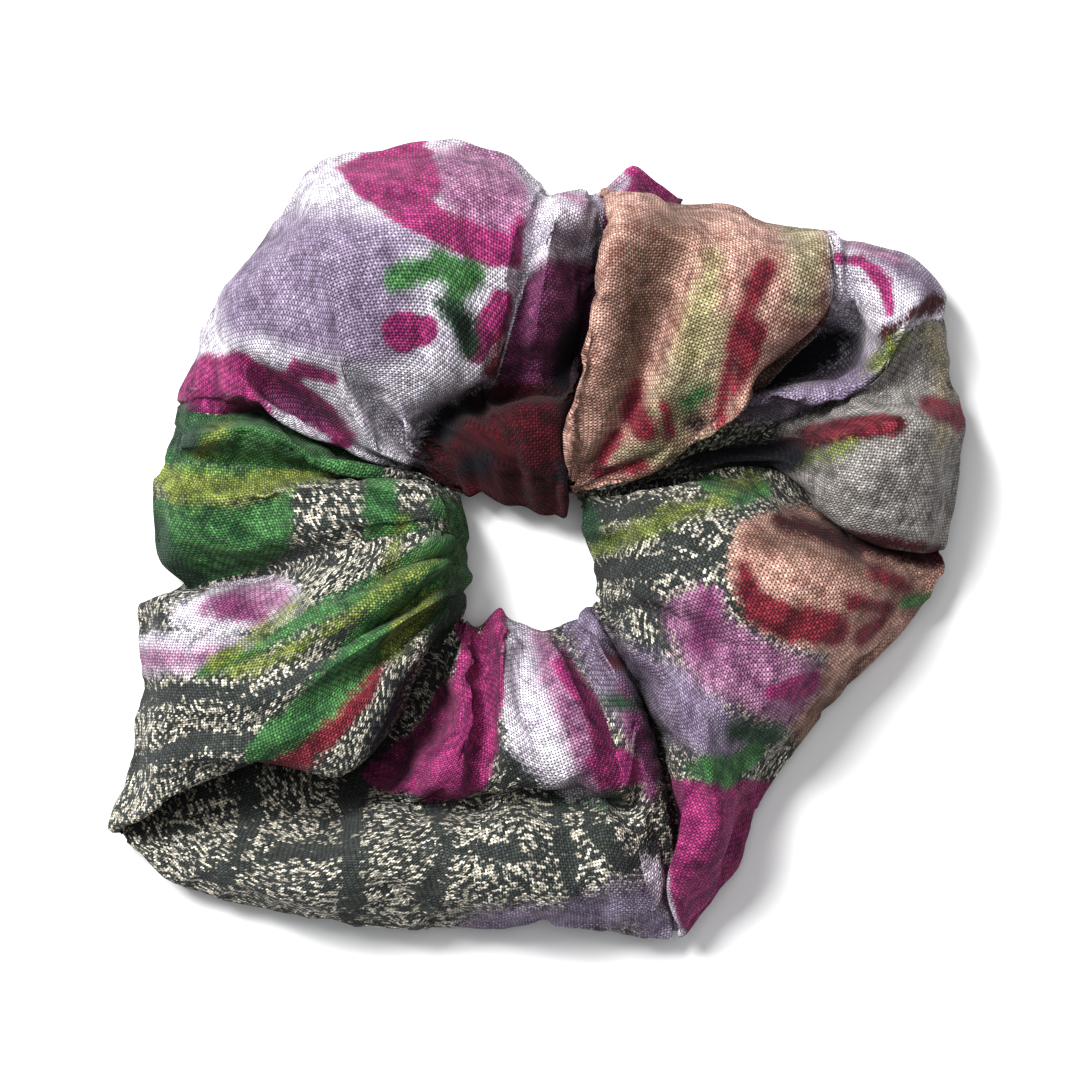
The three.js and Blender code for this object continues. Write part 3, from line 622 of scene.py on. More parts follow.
    ("wine", "right", [(41.4, 0.3, 0.8), (53.5, -1.6, 0.9)]),
    # Painted shade: these fawn marks darken the right and lower right folds where they lie in shade, most of all
    # the valley in the right fold.
    ("fawn", "lower_right", [(29.4, 0.7, 1.1), (41.4, -2.7, 1.6), (52.1, -8, 1.3)]),
    ("fawn", "right", [(40.9, 5.3, 2.1), (48.1, 2.7, 1.6)]),
    ("fawn", "right", [(44.4, 24.1, 0.5), (45.5, 19.3, 0.9)]),
    ("fawn", "lower_right", [(39.8, -20.1, 1.3), (35.6, -26.2, 1.1)]),
]
PATCHES = [
    ("pale", "top_left", [(-52.1, 58.8), (10.7, 58.8), (10.7, 21.4), (-7.2, 20.3), (-11.8, 17.6),
        (-15, 13.9), (-18.7, 8), (-26.7, 8), (-52.1, 21.4)]),
    ("lilac", "top_left", [(-41.2, 40.1), (-32.1, 43.9), (-18.7, 42.1), (-13.4, 38.8), (-18.7, 37.2),
        (-16, 32.1), (-18.7, 29.7), (-15.5, 27.3), (-18.7, 24.3), (-25.4, 23.3), (-32.1, 25.4),
        (-40.8, 27.4), (-43.6, 32.1)]),
    ("magenta", "top_left", [(-27.4, 50.1), (-23.4, 52.4), (-18.7, 54.8), (-15, 54.8), (-17.6, 50.8),
        (-16.8, 46.5), (-13.1, 43.6), (-8, 41.2), (-2.1, 40.1), (-2.1, 35.8), (-8, 36.6), (-13.6, 38.8),
        (-18.7, 42.2), (-23, 44.7), (-25.4, 47.3)]),
    ("leaf", "left_roll", [(-54.8, 21.4), (-21.4, 21.4), (-21.4, 8), (-54.8, 8)]),
    ("leaf", "left", [(-56.2, 5.3), (-48.1, 5.3), (-40.1, 4.7), (-33.4, 6.4), (-33.4, -0.7), (-40.1, -5.3),
        (-46.8, -9.4), (-56.2, -9.4)]),
    ("magenta", "bottom_left bottom", [(-11.4, -10.4), (-7.8, -13.4), (-6.4, -8), (-4.5, -8.6),
        (-5.3, -18.7), (-5.3, -26.7), (-6.7, -30.8), (-8.3, -33.4), (-11.4, -35.2), (-16, -34.6),
        (-21.4, -33.7), (-23.8, -31.6), (-19.4, -27.4), (-14.7, -23.4), (-11.8, -18.7), (-10.4, -14.7)]),
    ("pale", "bottom", [(-4.5, -8), (0, -12), (2.7, -21.4), (4.7, -29.4), (7, -33.7), (10.7, -35),
        (4, -34.8), (-0.7, -30.8), (-4.5, -27.8), (-5.1, -21.4)]),
    ("lilac", "bottom_right bottom", [(2.7, -9.4), (8, -6.7), (14.7, -21.4), (13.4, -26.7), (8, -21.4),
        (4.7, -14.7)]),
    ("tan", "lower_right", [(27.4, 2.4), (34.8, 4.7), (56.2, 2.7), (58.8, -10.7), (48.1, -16),
        (41.4, -20.1), (38.8, -26.7), (34.8, -27.4), (34.8, -20.1), (38.8, -15.4), (32.1, -13.6),
        (26.7, -9.6), (24.6, -5.3), (25.4, -0.7)]),
    ("pink", "lower_right", [(16.6, -8.3), (20.1, -5.9), (23.3, -6.7), (24.3, -10.7), (29.4, -13.4),
        (37.7, -16), (36.9, -20.1), (33.4, -24.3), (29.4, -23.5), (26.1, -21.4), (21.4, -19),
        (18.2, -14.7)]),
    ("lilac", "lower_right", [(8.6, -12.3), (14.7, -15.4), (20.1, -17.4), (24.3, -21.4), (27.5, -27.4),
        (26.1, -29.7), (21.4, -28.3), (17.6, -27), (14.7, -23), (11.4, -18.2)]),
    ("magenta", "lower_right", [(16.3, -32.4), (21.4, -31.6), (27.4, -32.1), (32.1, -33.4), (29.4, -44.1),
        (25.4, -52.1), (21.4, -56.2), (19, -52.1), (17.6, -46.8), (16.6, -40.1)]),
    ("pale", "lower_right bottom_right", [(13.4, -42.2), (16.7, -43.9), (19, -48.1), (20.6, -56.2),
        (15.4, -56.2), (14.4, -48.1)]),
    ("tan", "top_right", [(0, 52.1), (42.8, 52.1), (42.8, 16), (26.7, 8), (2.7, 2.7)]),
    ("pale", "top_peak", [(2.7, 53.5), (24.1, 53.5), (24.1, 32.1), (2.7, 32.1)]),
    ("magenta", "top_peak", [(11, 53.5), (24.1, 53.5), (24.1, 32.1), (8, 32.1), (8.8, 43.5), (12, 48.4)]),
    ("plum", "top_peak", [(2.7, 32.1), (24.1, 32.1), (24.1, 5.3), (2.7, 5.3)]),
    ("pale", "top_tuck", [(-6.7, 52.1), (10.7, 52.1), (10.7, 37.2), (2.7, 37.2), (-6.7, 32.1)]),
    ("plum", "top_tuck", [(-6.7, 32.6), (2.7, 37.2), (10.7, 37.2), (10.7, 20.9), (-8, 19.8)]),
    ("wine", "top_tuck top_left", [(-18.2, 8.8), (-16, 12.8), (-13.1, 17.1), (-9.6, 19.7), (-8, 20.6),
        (10.7, 22.5), (10.7, -2.7), (-18.7, -2.7)]),
    ("pale", "right_upper", [(21.4, 45.5), (58.8, 45.5), (58.8, 29.4), (45.5, 26.7), (42.8, 18.7),
        (29.4, 16), (26.7, 21.4)]),
    ("grey", "right", [(32.1, 32.1), (61.5, 34.8), (61.5, -5.3), (32.1, -5.3)]),
]
PAINTS = """
slate tan fawn grey pale lilac cream straw pink
magenta plum wine crimson leaf lime forest ink
""".split()


def stroke_depth(plan, stroke):
    """How far inside a brush stroke each point lies, in plan."""
    best = np.full(len(plan), -9.0)
    for (ax, ay, ar), (bx, by, br) in zip(stroke, stroke[1:]):
        a, d = np.array([ax, ay]), np.array([bx - ax, by - ay])
        t = np.clip((plan - a) @ d / (d @ d), 0, 1)
        away = np.linalg.norm(plan - a - t[:, None] * d, axis=1)
        best = np.maximum(best, ar + t * (br - ar) - away)
    return best


def patch_depth(plan, corners):
    """How far inside a patch each point lies, in plan."""
    corners = np.array(corners, float)
    away, inside = np.full(len(plan), 99.0), np.zeros(len(plan), bool)
    for a, b in zip(corners, np.roll(corners, -1, 0)):
        d = b - a
        t = np.clip((plan - a) @ d / (d @ d), 0, 1)
        away = np.minimum(away, np.linalg.norm(plan - a - t[:, None] * d, axis=1))
        crosses = (a[1] > plan[:, 1]) != (b[1] > plan[:, 1])
        with np.errstate(divide="ignore", invalid="ignore"):
            meet = a[0] + (plan[:, 1] - a[1]) * (b[0] - a[0]) / (b[1] - a[1])
        inside ^= crosses & (plan[:, 0] < meet)
    return np.where(inside, away, -away)


def store(mesh, name, values):
    """Writes a number on each point of a mesh."""
    numbers = np.broadcast_to(values, len(mesh.vertices)).astype(np.float32)
    mesh.attributes.new(name, "FLOAT", "POINT").data.foreach_set("value", numbers)


def both_skins(values):
    """Numbers for the cloth's face, followed by the same for its back."""
    return np.concatenate([values.ravel(), values[:, ::BACK_STEP].ravel()])


def paint_cloth(mesh, grid, folds):
    """Stores, for each paint, how far inside its nearest mark each point of the cloth lies."""
    depth = {paint: np.full(grid.shape[:2], -9.0) for paint in PAINTS}
    fold_of = np.array(folds)
    for marks, measure in ((PATCHES, patch_depth), (STROKES, stroke_depth)):
        for paint, where, shape in marks:
            for fold in where.split():
                here = fold_of == fold
                plan = grid[here][..., :2]
                found = measure(plan.reshape(-1, 2), shape).reshape(plan.shape[:2])
                depth[paint][here] = np.maximum(depth[paint][here], found)
    for paint in PAINTS:
        store(mesh, paint, both_skins(np.clip(depth[paint], -6, 6)))


paint_cloth(mesh, grid, folds)


def hollows(grid):
    """How deep each point lies below the cloth around it, from 0 on a crown to 1 in a deep crease."""
    size, low = 160, -80
    cells = np.clip((grid[..., :2] - low).astype(int), 1, size - 2)
    top = np.zeros((size, size))
    np.maximum.at(top, (cells[..., 0], cells[..., 1]), grid[..., 2])
    for _ in range(3):
        around = [np.roll(np.roll(top, a, 0), b, 1) for a in (-1, 0, 1) for b in (-1, 0, 1)]
        top = np.where(top > 0, top, np.max(around, axis=0))
    for _ in range(14):
        top = sum(np.roll(np.roll(top, a, 0), b, 1) for a in (-1, 0, 1) for b in (-1, 0, 1)) / 9
    depth = top[cells[..., 0], cells[..., 1]] - grid[..., 2]
    return np.clip((depth - 1.5) / 8, 0, 1)


# Painted shade: this measure darkens the cloth's colour in its creases, the deeper the darker.
store(mesh, "crease_shade", both_skins(hollows(grid)))

# ---- Materials ----


def linear(colour):
    """A hex colour as the linear red, green, blue and alpha that a shader takes."""
    parts = [int(colour[i : i + 2], 16) / 255 for i in (0, 2, 4)]
    return [c / 12.92 if c <= 0.04045 else ((c + 0.055) / 1.055) ** 2.4 for c in parts] + [1]


class Shader:
    """A material's node tree, with one call for each node."""

    def __init__(self, name):
        self.material = bpy.data.materials.new(name)
        self.material.use_nodes = True
        self.tree = self.material.node_tree
        self.surface = self.tree.nodes["Principled BSDF"]

    def put(self, socket, value):
        if isinstance(value, bpy.types.NodeSocket):
            self.tree.links.new(value, socket)
        elif value is not None:
            socket.default_value = value

    def node(self, kind, *values, out=0, **settings):
        made = self.tree.nodes.new(kind)
        for key, value in settings.items():
            setattr(made, key, value)
        for socket, value in zip(made.inputs, values):
            self.put(socket, value)
        return made.outputs[out]

    def math(self, operation, a, b=None, c=None, clamp=False):
        return self.node("ShaderNodeMath", a, b, c, operation=operation, use_clamp=clamp)

    def attribute(self, name):
        return self.node("ShaderNodeAttribute", out="Fac", attribute_name=name)

    def vector(self, x, y, z=None):
        return self.node("ShaderNodeCombineXYZ", x, y, z)

    def parts(self, vector):
        made = self.tree.nodes.new("ShaderNodeSeparateXYZ")
        self.put(made.inputs[0], vector)
        return made.outputs[0], made.outputs[1]

    def offset(self, vector, distance):
        return self.node("ShaderNodeVectorMath", vector, (distance, distance, 0), operation="ADD")

    def noise(self, vector, scale, detail=2.0, roughness=0.5):
        made = self.tree.nodes.new("ShaderNodeTexNoise")
        self.put(made.inputs["Vector"], vector)
        made.inputs["Scale"].default_value = scale
        made.inputs["Detail"].default_value = detail
        made.inputs["Roughness"].default_value = roughness
        return made.outputs["Fac"]

    def mix(self, share, a, b, blend="MIX"):
        made = self.tree.nodes.new("ShaderNodeMix")
        made.data_type, made.blend_type = "RGBA", blend
        self.put(made.inputs[0], share)
        self.put(made.inputs[6], a)
        self.put(made.inputs[7], b)
        return made.outputs[2]

    def blend_number(self, share, a, b):
        made = self.tree.nodes.new("ShaderNodeMix")
        self.put(made.inputs[0], share)
        self.put(made.inputs[2], a)
        self.put(made.inputs[3], b)
        return made.outputs[0]

    def step(self, value, low, high):
        return self.node("ShaderNodeMapRange", value, low, high, 0.0, 1.0, interpolation_type="SMOOTHSTEP")


# Each paint: its darker and lighter shade, and how soft its edge is in millimetres.
SHADES = {
    "slate": ("39413e", "545d58", 1.0),
    "tan": ("8a645b", "c9a294", 1.5),
    # fawn is a darker tan of the print, and also painted shade where its marks darken the shaded folds on the
    # right.
    "fawn": ("65493f", "8d7063", 5.0),
    "grey": ("6c6865", "9d9894", 2.0),
    "pale": ("a89fad", "e6e1ea", 2.0),
    "lilac": ("6f6177", "92859b", 4.0),
    "cream": ("796f56", "aba085", 4.0),
    "straw": ("857c5a", "b3a882", 3.0),
    "pink": ("754869", "ad7f9c", 3.0),
    "magenta": ("6c2150", "a23f74", 0.9),
    "plum": ("5d2f4f", "8b4b74", 2.2),
    "wine": ("2e0b12", "4d131c", 1.4),
    "crimson": ("521a27", "88333f", 1.4),
    "leaf": ("26492d", "52814f", 1.6),
    "lime": ("515e2d", "858f49", 2.4),
    "forest": ("1d3224", "34523c", 2.0),
    # ink is a dark print colour, and also painted shadow where its marks lie in creases and pits.
    "ink": ("0f1016", "1d1d28", 2.4),
}
THREAD_PITCH = 0.42


def printed_cotton():
    """Plain-weave cotton, printed with a mottled ground and brush marks over it; its colour also holds painted
    light and shade.
    """
    s = Shader("printed_cotton")
    weave = s.node("ShaderNodeUVMap", uv_map="weave")
    along, across = s.parts(weave)
    along = s.math("MULTIPLY_ADD", s.noise(weave, 0.35, 2.0), 0.6, along)
    across = s.math("MULTIPLY_ADD", s.noise(s.offset(weave, 31.0), 0.3, 2.0), 0.5, across)

    # The weave: threads that rise and sink, a gap at each corner, and uneven yarn. The first two are also painted
    # into the colour below as painted highlight and painted shade.
    turns = [s.math("MULTIPLY", x, math.pi / THREAD_PITCH) for x in (along, across)]
    waves = [s.math("SINE", t) for t in turns]
    over_under = s.math("MULTIPLY", waves[0], waves[1])
    gaps = s.math("MULTIPLY", *[s.math("SUBTRACT", 1.0, s.math("MULTIPLY", w, w)) for w in waves])
    rows = [s.math("FLOOR", s.math("DIVIDE", x, THREAD_PITCH)) for x in (along, across)]
    crossing = s.node("ShaderNodeTexWhiteNoise", s.vector(*rows), noise_dimensions="2D")
    warp_yarn = s.noise(s.vector(rows[0], s.math("MULTIPLY", across, 0.12)), 1.7, 1.0)
    weft_yarn = s.noise(s.vector(s.math("MULTIPLY", along, 0.12), rows[1]), 1.7, 1.0)
    yarn = s.math("ADD", warp_yarn, weft_yarn)

    # The mottled ground: light dashes of weft over a dark warp, thinner in the slate bands.
    cloud = s.noise(weave, 0.45, 3.0, 0.6)
    wash = s.noise(weave, 0.16, 4.0, 0.65)
    drift = s.noise(weave, 0.11, 1.0)
    edge = s.math("ADD", s.math("MULTIPLY_ADD", drift, 2.6, -1.2), s.math("MULTIPLY_ADD", cloud, 1.4, -0.6))
    masks = {}
    for paint in PAINTS:
        soft = SHADES[paint][2]
        dither = min(0.5 * soft, 1.2)
        depth = s.math("ADD", s.attribute(paint), edge)
        depth = s.math("ADD", depth, s.math("MULTIPLY_ADD", crossing, dither, -dither / 2))
        masks[paint] = s.step(depth, -soft / 2, soft / 2)
    dash_row = s.math("MULTIPLY", s.math("MODULO", rows[1], 2.0), 0.5)
    dash = s.math("FLOOR", s.math("ADD", s.math("DIVIDE", along, 1.5 * THREAD_PITCH), dash_row))
    pick = s.node("ShaderNodeTexWhiteNoise", s.vector(dash, rows[1]), noise_dimensions="2D")
    clumps = s.noise(weave, 0.75, 2.0, 0.6)
    share = s.math("ADD", s.math("MULTIPLY_ADD", cloud, 0.8, -0.44), s.math("MULTIPLY", clumps, 0.92))
    share = s.math("MULTIPLY", share, s.math("MULTIPLY_ADD", masks["slate"], -0.96, 1.0))
    light_dash = s.step(s.math("SUBTRACT", share, pick), -0.03, 0.03)
    dark = s.mix(wash, linear("292d2e"), linear("4a4f4b"))
    colour = s.mix(light_dash, dark, s.mix(crossing, linear("928d80"), linear("d2ccbd")))

    # The paints, each mottled between its two shades.
    mottle = s.step(s.blend_number(0.5, wash, cloud), 0.36, 0.62)
    for paint in PAINTS[1:]:
        low, high, _ = SHADES[paint]
        colour = s.mix(masks[paint], colour, s.mix(mottle, linear(low), linear(high)))

    # Painted light in the colour: crossings lighter where one thread lies on top and darker where the other does,
    # painted shade in the gaps between threads and in the creases, and the yarn's random tone.
    painted_light_and_yarn_tone = s.math("MULTIPLY_ADD", over_under, 0.42, 1.2)
    painted_light_and_yarn_tone = s.math("MULTIPLY", painted_light_and_yarn_tone, s.math("MULTIPLY_ADD", gaps, -0.97, 1.0))
    painted_light_and_yarn_tone = s.math("MULTIPLY", painted_light_and_yarn_tone, s.math("MULTIPLY_ADD", crossing, 0.5, 0.75))
    painted_light_and_yarn_tone = s.math("MULTIPLY", painted_light_and_yarn_tone, s.math("MULTIPLY_ADD", yarn, 0.9, 0.1))
    painted_light_and_yarn_tone = s.math("MULTIPLY", painted_light_and_yarn_tone, s.math("MULTIPLY_ADD", s.attribute("crease_shade"), -0.68, 1.0))
    colour = s.mix(1.0, colour, s.node("ShaderNodeCombineColor", painted_light_and_yarn_tone, painted_light_and_yarn_tone, painted_light_and_yarn_tone), "MULTIPLY")
    s.put(s.surface.inputs["Base Color"], colour)
    s.surface.inputs["Roughness"].default_value = 0.88
    s.surface.inputs["Specular IOR Level"].default_value = 0.25
    s.surface.inputs["Sheen Weight"].default_value = 0.05
    bump = s.tree.nodes.new("ShaderNodeBump")
    bump.inputs["Strength"].default_value = 0.8
    bump.inputs["Distance"].default_value = 0.00014
    s.put(bump.inputs["Height"], s.math("SUBTRACT", s.math("MULTIPLY", over_under, 0.5), gaps))
    s.put(s.surface.inputs["Normal"], bump.outputs[0])
    return s.material


def knitted_elastic():
    """White braided elastic: fine chevron stitches along its ribs."""
    s = Shader("knitted_elastic")
    along, across = s.parts(s.node("ShaderNodeUVMap", uv_map="weave"))
    slant = s.math("ADD", along, s.math("MULTIPLY", s.math("PINGPONG", across, 0.375), 1.2))
    stitch = s.math("SINE", s.math("MULTIPLY", slant, 2 * math.pi / 0.55))
    cloud = s.noise(s.vector(along, across), 0.8, 3.0)
    tone = s.math("ADD", s.math("MULTIPLY_ADD", stitch, 0.16, 0.5), s.math("MULTIPLY_ADD", cloud, 0.5, -0.25))
    s.put(s.surface.inputs["Base Color"], s.mix(tone, linear("b9b4a8"), linear("f3f0e8")))
    s.surface.inputs["Roughness"].default_value = 0.78
    bump = s.tree.nodes.new("ShaderNodeBump")
    bump.inputs["Strength"].default_value = 0.6
    bump.inputs["Distance"].default_value = 0.00012
    s.put(bump.inputs["Height"], stitch)
    s.put(s.surface.inputs["Normal"], bump.outputs[0])
    return s.material


def spun_thread(name, low, high):
    """Sewing thread: two plies twisted together, a little glossy."""
    s = Shader(name)
    place = s.tree.nodes.new("ShaderNodeTexCoord").outputs["Object"]
    made = s.tree.nodes.new("ShaderNodeTexWave")
    s.put(made.inputs["Vector"], place)
    made.bands_direction = "DIAGONAL"
    made.inputs["Scale"].default_value = 900.0
    made.inputs["Distortion"].default_value = 1.5
    twist = made.outputs["Fac"]
    fuzz = s.noise(place, 2600.0, 3.0)
    tone = s.math("MULTIPLY_ADD", twist, 0.6, s.math("MULTIPLY", fuzz, 0.4))
    s.put(s.surface.inputs["Base Color"], s.mix(tone, linear(low), linear(high)))
    s.surface.inputs["Roughness"].default_value = 0.5
    bump = s.tree.nodes.new("ShaderNodeBump")
    bump.inputs["Strength"].default_value = 0.5
    bump.inputs["Distance"].default_value = 0.00006
    s.put(bump.inputs["Height"], twist)
    s.put(s.surface.inputs["Normal"], bump.outputs[0])
    return s.material


cotton = printed_cotton()
mesh.materials.append(cotton)
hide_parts(*[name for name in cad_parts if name.startswith("cover_fold")])

# ---- Inside the cover: the elastic and the long seam's turned-in edges ----


def middle_of(node):
    """A node's centre in plan, and its half width, in millimetres."""
    low, high = (np.array(corner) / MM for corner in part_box(node))
    return (low[:2] + high[:2]) / 2, (high[0] - low[0]) / 2, low[2], high[2]


def level(near, far, rows, pick):
    """The lowest ceiling or highest floor inside the tube between two radii, for each 4 degrees."""
    points = grid[:, rows].reshape(-1, 3)
    off = points[:, :2] - RING
    radius = np.linalg.norm(off, axis=1)
    points, off = points[(radius > near) & (radius < far)], off[(radius > near) & (radius < far)]
    at = (np.degrees(np.arctan2(off[:, 1], off[:, 0])) % 360 // 4).astype(int)
    seen = np.unique(at)
    found = np.interp(np.arange(90), seen, [pick(points[at == k, 2]) for k in seen], period=90)
    for _ in range(2):
        found = pick([np.roll(found, -1), found, np.roll(found, 1)], axis=0)
    for _ in range(3):
        found = (np.roll(found, -1) + found + np.roll(found, 1)) / 3
    return found


class Band:
    """A strip on edge round the opening, inside the tube, that leans over where the tube is flat."""

    def __init__(self, radius, low, width, thickness, lean):
        near, far = sorted((radius - lean, radius + lean * (width + 1)))
        ceiling = level(near, far, slice(2, ACROSS_TOP - 8), np.min) - CLOTH - 0.25
        floor = level(near, far, slice(ACROSS_TOP + 6, ROUND - 7), np.max) + CLOTH + 0.2
        self.radius, self.lean = radius, lean
        room = ceiling - floor
        self.tilt = np.arccos(np.clip((room - thickness) / width, 0.0, 1.0))
        rise = width * np.cos(self.tilt) + thickness * np.sin(self.tilt)
        self.foot = floor + np.minimum(np.maximum(room - rise, 0), np.maximum(low - floor, 0))
        self.foot += thickness / 2 * np.sin(self.tilt)

    def point(self, degrees, out, up):
        """A point this far out from the strip's middle face, and this far up from its lower edge."""
        at = degrees / 4 % 90
        tilt = np.interp(at, np.arange(91), np.append(self.tilt, self.tilt[0]))
        foot = np.interp(at, np.arange(91), np.append(self.foot, self.foot[0]))
        radial = np.array([math.cos(math.radians(degrees)), math.sin(math.radians(degrees))])
        reach = self.radius + out * math.cos(tilt) + self.lean * up * math.sin(tilt)
        height = foot - self.lean * out * math.sin(tilt) + up * math.cos(tilt)
        return np.append(RING + reach * radial, height)


face_quads = [p.vertices[:] for p in mesh.polygons if p.vertices[0] < COLUMNS * ROUND]
COVER_FACE = BVHTree.FromPolygons([v.co for v in mesh.vertices], face_quads)


def tucked(points):
    """The points, with any that would come through the cover moved just inside it."""
    kept = []
    for point in points:
        found, normal, _, away = COVER_FACE.find_nearest(Vector(point) * MM)
        if away < 3 * MM and (Vector(point) * MM - found).dot(normal) > -0.5 * MM:
            point = np.array(found - normal * 0.6 * MM) / MM
        kept.append(point)
    return kept


def lofted(name, sections, closed, material):
    """A mesh through rings of points, with a weave map in millimetres."""
    sections = np.array(sections)
    count, rows = sections.shape[:2]
    along = distances(sections[:, 0])
    across = distances(np.vstack([sections[0], sections[0][:1]]))
    along = np.append(along, 2 * along[-1] - along[-2])
    faces, uvs = [], []
    for a in range(count if closed else count - 1):
        b = (a + 1) % count
        for r in range(rows):
            q = (r + 1) % rows
            faces.append((a * rows + r, b * rows + r, b * rows + q, a * rows + q))
            uvs += [(along[x], across[y]) for x, y in ((a, r), (a + 1, r), (a + 1, r + 1), (a, r + 1))]
    if not closed:
        faces += [list(range(rows)), [(count - 1) * rows + r for r in range(rows)][::-1]]
        uvs += [(along[0], across[r]) for r in range(rows)]
        uvs += [(along[-1], across[r]) for r in range(rows)][::-1]
    made = bpy.data.meshes.new(name)
    made.from_pydata((sections.reshape(-1, 3) * MM).tolist(), [], faces)
    made.uv_layers.new(name="weave").data.foreach_set("uv", np.array(uvs, np.float32).ravel())
    made.polygons.foreach_set("use_smooth", np.ones(len(faces), bool))
    made.materials.append(material)
    piece = bpy.data.objects.new(name, made)
    bpy.context.collection.objects.link(piece)
    return piece


RING, allowance_edge, allowance_low, allowance_high = middle_of("long_seam_allowance")
_, _, elastic_low, elastic_high = middle_of("elastic_loop")
PLIES = 1.1
allowance_band = Band(allowance_edge - PLIES / 2, allowance_low, 5.0, PLIES, 1)
elastic_band = Band(23.0, elastic_low, elastic_high - elastic_low, 1.0, 1)
LAP_AT, LAP, LAP_RUN, RIBS_ACROSS = 166, 28, 40, 8


def elastic_climb(degrees):
    """How far the elastic's outer end has climbed over its inner end."""
    t = np.clip((degrees - (360 - LAP_RUN)) / LAP_RUN, 0, 1)
    return 1.3 * t * t * (3 - 2 * t)


def elastic_section(degrees):
    """The elastic's ribbed section: rounded ribs on both faces."""
    width = elastic_high - elastic_low
    up = np.linspace(0.15, width - 0.15, RIBS_ACROSS * 4 + 1)
    rib = 0.38 + 0.12 * np.abs(np.sin(np.pi * RIBS_ACROSS * (up - 0.15) / (width - 0.3)))
    climb = elastic_climb(degrees)
    face = [elastic_band.point(LAP_AT + degrees, climb + r, u) for u, r in zip(up, rib)]
    back = [elastic_band.point(LAP_AT + degrees, climb - r, u) for u, r in zip(up, rib)]
    return face + back[::-1]


sections = [elastic_section(degrees) for degrees in np.arange(0, 360 + LAP + 0.1, 2.0)]
elastic = lofted("elastic", sections, False, knitted_elastic())
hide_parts("elastic_loop")

PLY_PROFILE = [
    (0.5, 0.0), (0.52, 2.5), (0.5, 4.7), (0.35, 5.0), (0.12, 4.9), (0.04, 4.2),
    (-0.04, 4.2), (-0.12, 4.8), (-0.35, 4.9), (-0.5, 4.6), (-0.52, 2.5), (-0.5, 0.0),
]
rings = [
    tucked([allowance_band.point(d, a, u + 0.12 * noise.noise((d * 0.6, u, 5.0))) for a, u in PLY_PROFILE])
    for d in np.arange(0, 360, 2.0)
]
allowance = lofted("long_seam_edges", rings, True, cotton)
for paint in PAINTS:
    store(allowance.data, paint, -6)
store(allowance.data, "crease_shade", 0)
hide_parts("long_seam_allowance")

# ---- Stitches ----


def stitch_tree():
    """Stitches laid end to end along a line of edges."""
    tree = bpy.data.node_groups.new("stitches", "GeometryNodeTree")
    add = tree.interface.new_socket
    add("Line", in_out="INPUT", socket_type="NodeSocketGeometry")
    names = ("Stitch length", "Gap", "Thread width")
    sizes = [add(name, in_out="INPUT", socket_type="NodeSocketFloat") for name in names]
    colour = add("Thread", in_out="INPUT", socket_type="NodeSocketMaterial")
    add("Stitches", in_out="OUTPUT", socket_type="NodeSocketGeometry")
    source, end = tree.nodes.new("NodeGroupInput").outputs, tree.nodes.new("NodeGroupOutput")

    def node(kind, links, **settings):
        made = tree.nodes.new(kind)
        for key, value in settings.items():
            setattr(made, key, value)
        for key, value in links.items():
            if isinstance(value, bpy.types.NodeSocket):
                tree.links.new(value, made.inputs[key])
            else:
                made.inputs[key].default_value = value
        return made

    length, width = source["Stitch length"], source["Thread width"]
    line = node("GeometryNodeMeshToCurve", {"Mesh": source["Line"]})
    step = node("ShaderNodeMath", {0: length, 1: source["Gap"]}, operation="ADD")
    spaced = {"Curve": line.outputs[0], "Length": step.outputs[0]}
    points = node("GeometryNodeCurveToPoints", spaced, mode="LENGTH")
    size = node("ShaderNodeCombineXYZ", {0: width, 1: width, 2: length})
    bead = node("GeometryNodeMeshUVSphere", {"Segments": 8, "Rings": 5, "Radius": 0.5})
    laid = node(
        "GeometryNodeInstanceOnPoints",
        {
            "Points": points.outputs["Points"],
            "Instance": bead.outputs["Mesh"],
            "Rotation": points.outputs["Rotation"],
            "Scale": size.outputs[0],
        },
    )
    real = node("GeometryNodeRealizeInstances", {"Geometry": laid.outputs[0]})
    smooth = node("GeometryNodeSetShadeSmooth", {"Geometry": real.outputs[0]})
    finish = node("GeometryNodeSetMaterial", {"Geometry": smooth.outputs[0], "Material": source["Thread"]})
    tree.links.new(finish.outputs[0], end.inputs[0])
    return tree, [socket.identifier for socket in sizes], colour.identifier


STITCHES, SIZE_SOCKETS, THREAD_SOCKET = stitch_tree()


def stitched(name, line, closed, length, gap, width, thread, *nodes):
    """A row of stitches along a line of points, which stands for these CAD nodes."""
    edges = [(i, i + 1) for i in range(len(line) - 1)] + ([(len(line) - 1, 0)] if closed else [])
    guide = bpy.data.meshes.new(name)
    guide.from_pydata((np.array(line) * MM).tolist(), edges, [])
    piece = bpy.data.objects.new(name, guide)
    bpy.context.collection.objects.link(piece)
    row = piece.modifiers.new("stitches", "NODES")
    row.node_group = STITCHES
    for socket, value in zip(SIZE_SOCKETS, (length, gap, width)):
        row[socket] = value * MM
    row[THREAD_SOCKET] = thread
    made = bpy.data.meshes.new_from_object(piece.evaluated_get(bpy.context.evaluated_depsgraph_get()))
    piece.modifiers.clear()
    piece.data = made
    made.name = name
    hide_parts(*nodes)
    return piece


white_thread = spun_thread("white_thread", "b8b4aa", "f6f4ee")
grey_thread = spun_thread("grey_thread", "5c5860", "9f9aa2")
threads = []


def lap_zigzag(out):
    """Zigzag points on one face of the elastic's lap."""
    corners = np.linspace(360 + 4, 360 + LAP - 4, 13)
    ups = [4.9 if i % 2 else 1.1 for i in range(len(corners))]
    return [elastic_band.point(LAP_AT + d, out, up) for d, up in zip(corners, ups)]


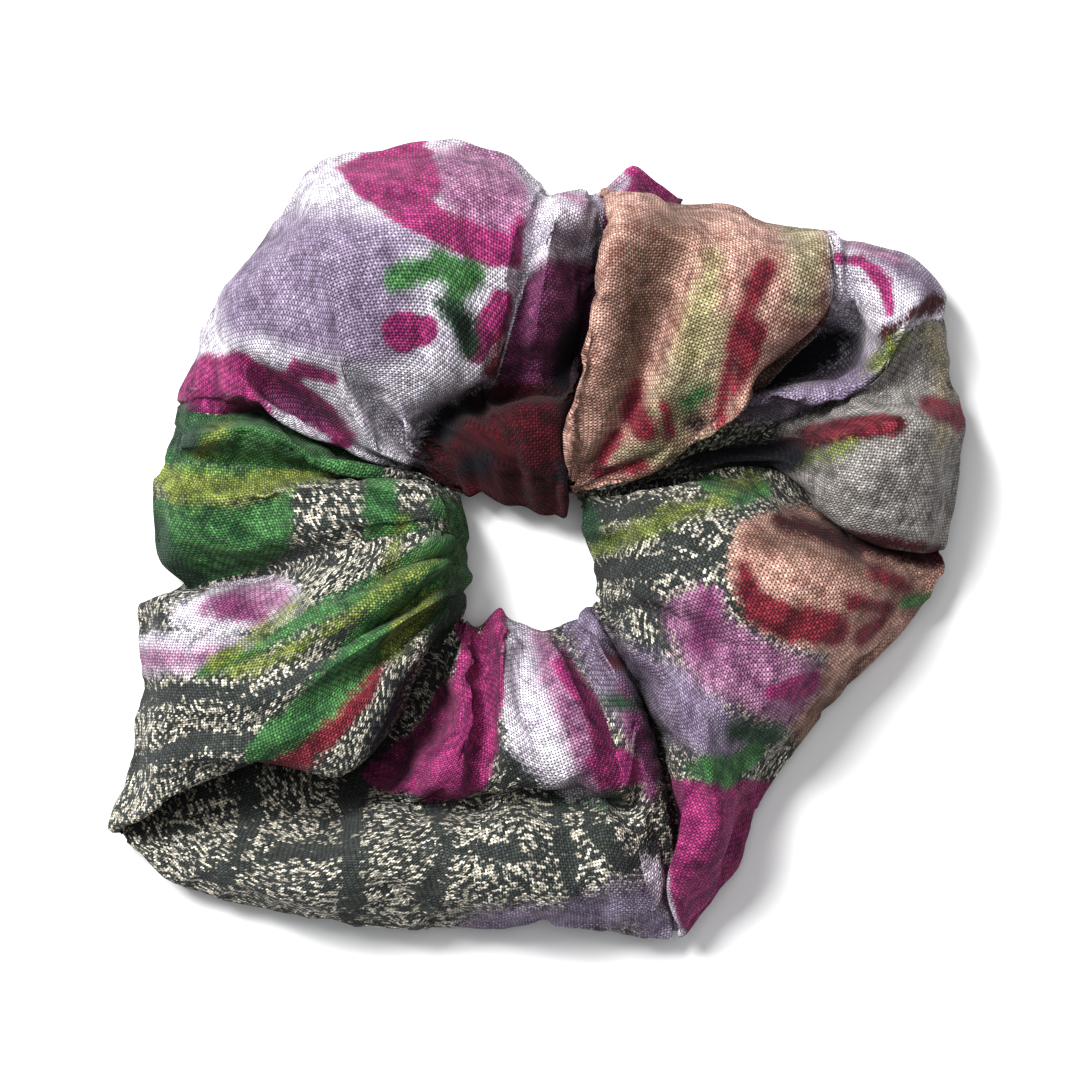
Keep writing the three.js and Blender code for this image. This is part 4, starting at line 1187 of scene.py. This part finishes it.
for name, out, node in (
    ("elastic_lap_needle_stitches", 1.3 + 0.6, "elastic_lap_needle_thread"),
    ("elastic_lap_bobbin_stitches", -0.6, "elastic_lap_bobbin_thread"),
):
    threads.append(stitched(name, lap_zigzag(out), False, 1.9, 0.15, 0.3, white_thread, node))
for name, out, node in (
    ("long_seam_needle_stitches", -0.62, "long_seam_needle_thread"),
    ("long_seam_bobbin_stitches", 0.62, "long_seam_bobbin_thread"),
):
    line = tucked([allowance_band.point(d, out, 1.5) for d in np.arange(0, 360, 1.5)])
    threads.append(stitched(name, line, True, 2.2, 0.3, 0.24, grey_thread, node))
inside = grid - 1.0 * outward(grid)
tuck = [c for c in range(COLUMNS) if folds[c] == "top_tuck"]
for name, c, node in (
    ("cross_seam_needle_stitches", tuck[len(tuck) // 2], "cross_seam_needle_thread"),
    ("cross_seam_bobbin_stitches", tuck[len(tuck) // 2] + 1, "cross_seam_bobbin_thread"),
):
    threads.append(stitched(name, tucked(inside[c, ::2]), True, 2.2, 0.3, 0.24, grey_thread, node))
closed_gap = [c for c in range(COLUMNS) if folds[c] in ("bottom", "bottom_right")]
for name, out, node in (
    ("gap_needle_stitches", 0.08, "gap_needle_thread"),
    ("gap_bobbin_stitches", -CLOTH - 0.1, "gap_bobbin_thread"),
):
    line = (grid + out * outward(grid))[closed_gap, ROUND - 5]
    threads.append(stitched(name, line, False, 2.0, 0.4, 0.26, grey_thread, node))

# ---- Table ----

table = bpy.data.meshes.new("table")
table.from_pydata([(-3, -3, 0), (3, -3, 0), (3, 3, 0), (-3, 3, 0)], [], [(0, 1, 2, 3)])
floor = bpy.data.objects.new("table", table)
bpy.context.collection.objects.link(floor)
white = bpy.data.materials.new("pale_table")
white.use_nodes = True
white.node_tree.nodes["Principled BSDF"].inputs["Base Color"].default_value = (0.9, 0.9, 0.9, 1)
white.node_tree.nodes["Principled BSDF"].inputs["Roughness"].default_value = 0.7
table.materials.append(white)

for piece in (cover, elastic, allowance, *threads):
    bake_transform(piece)
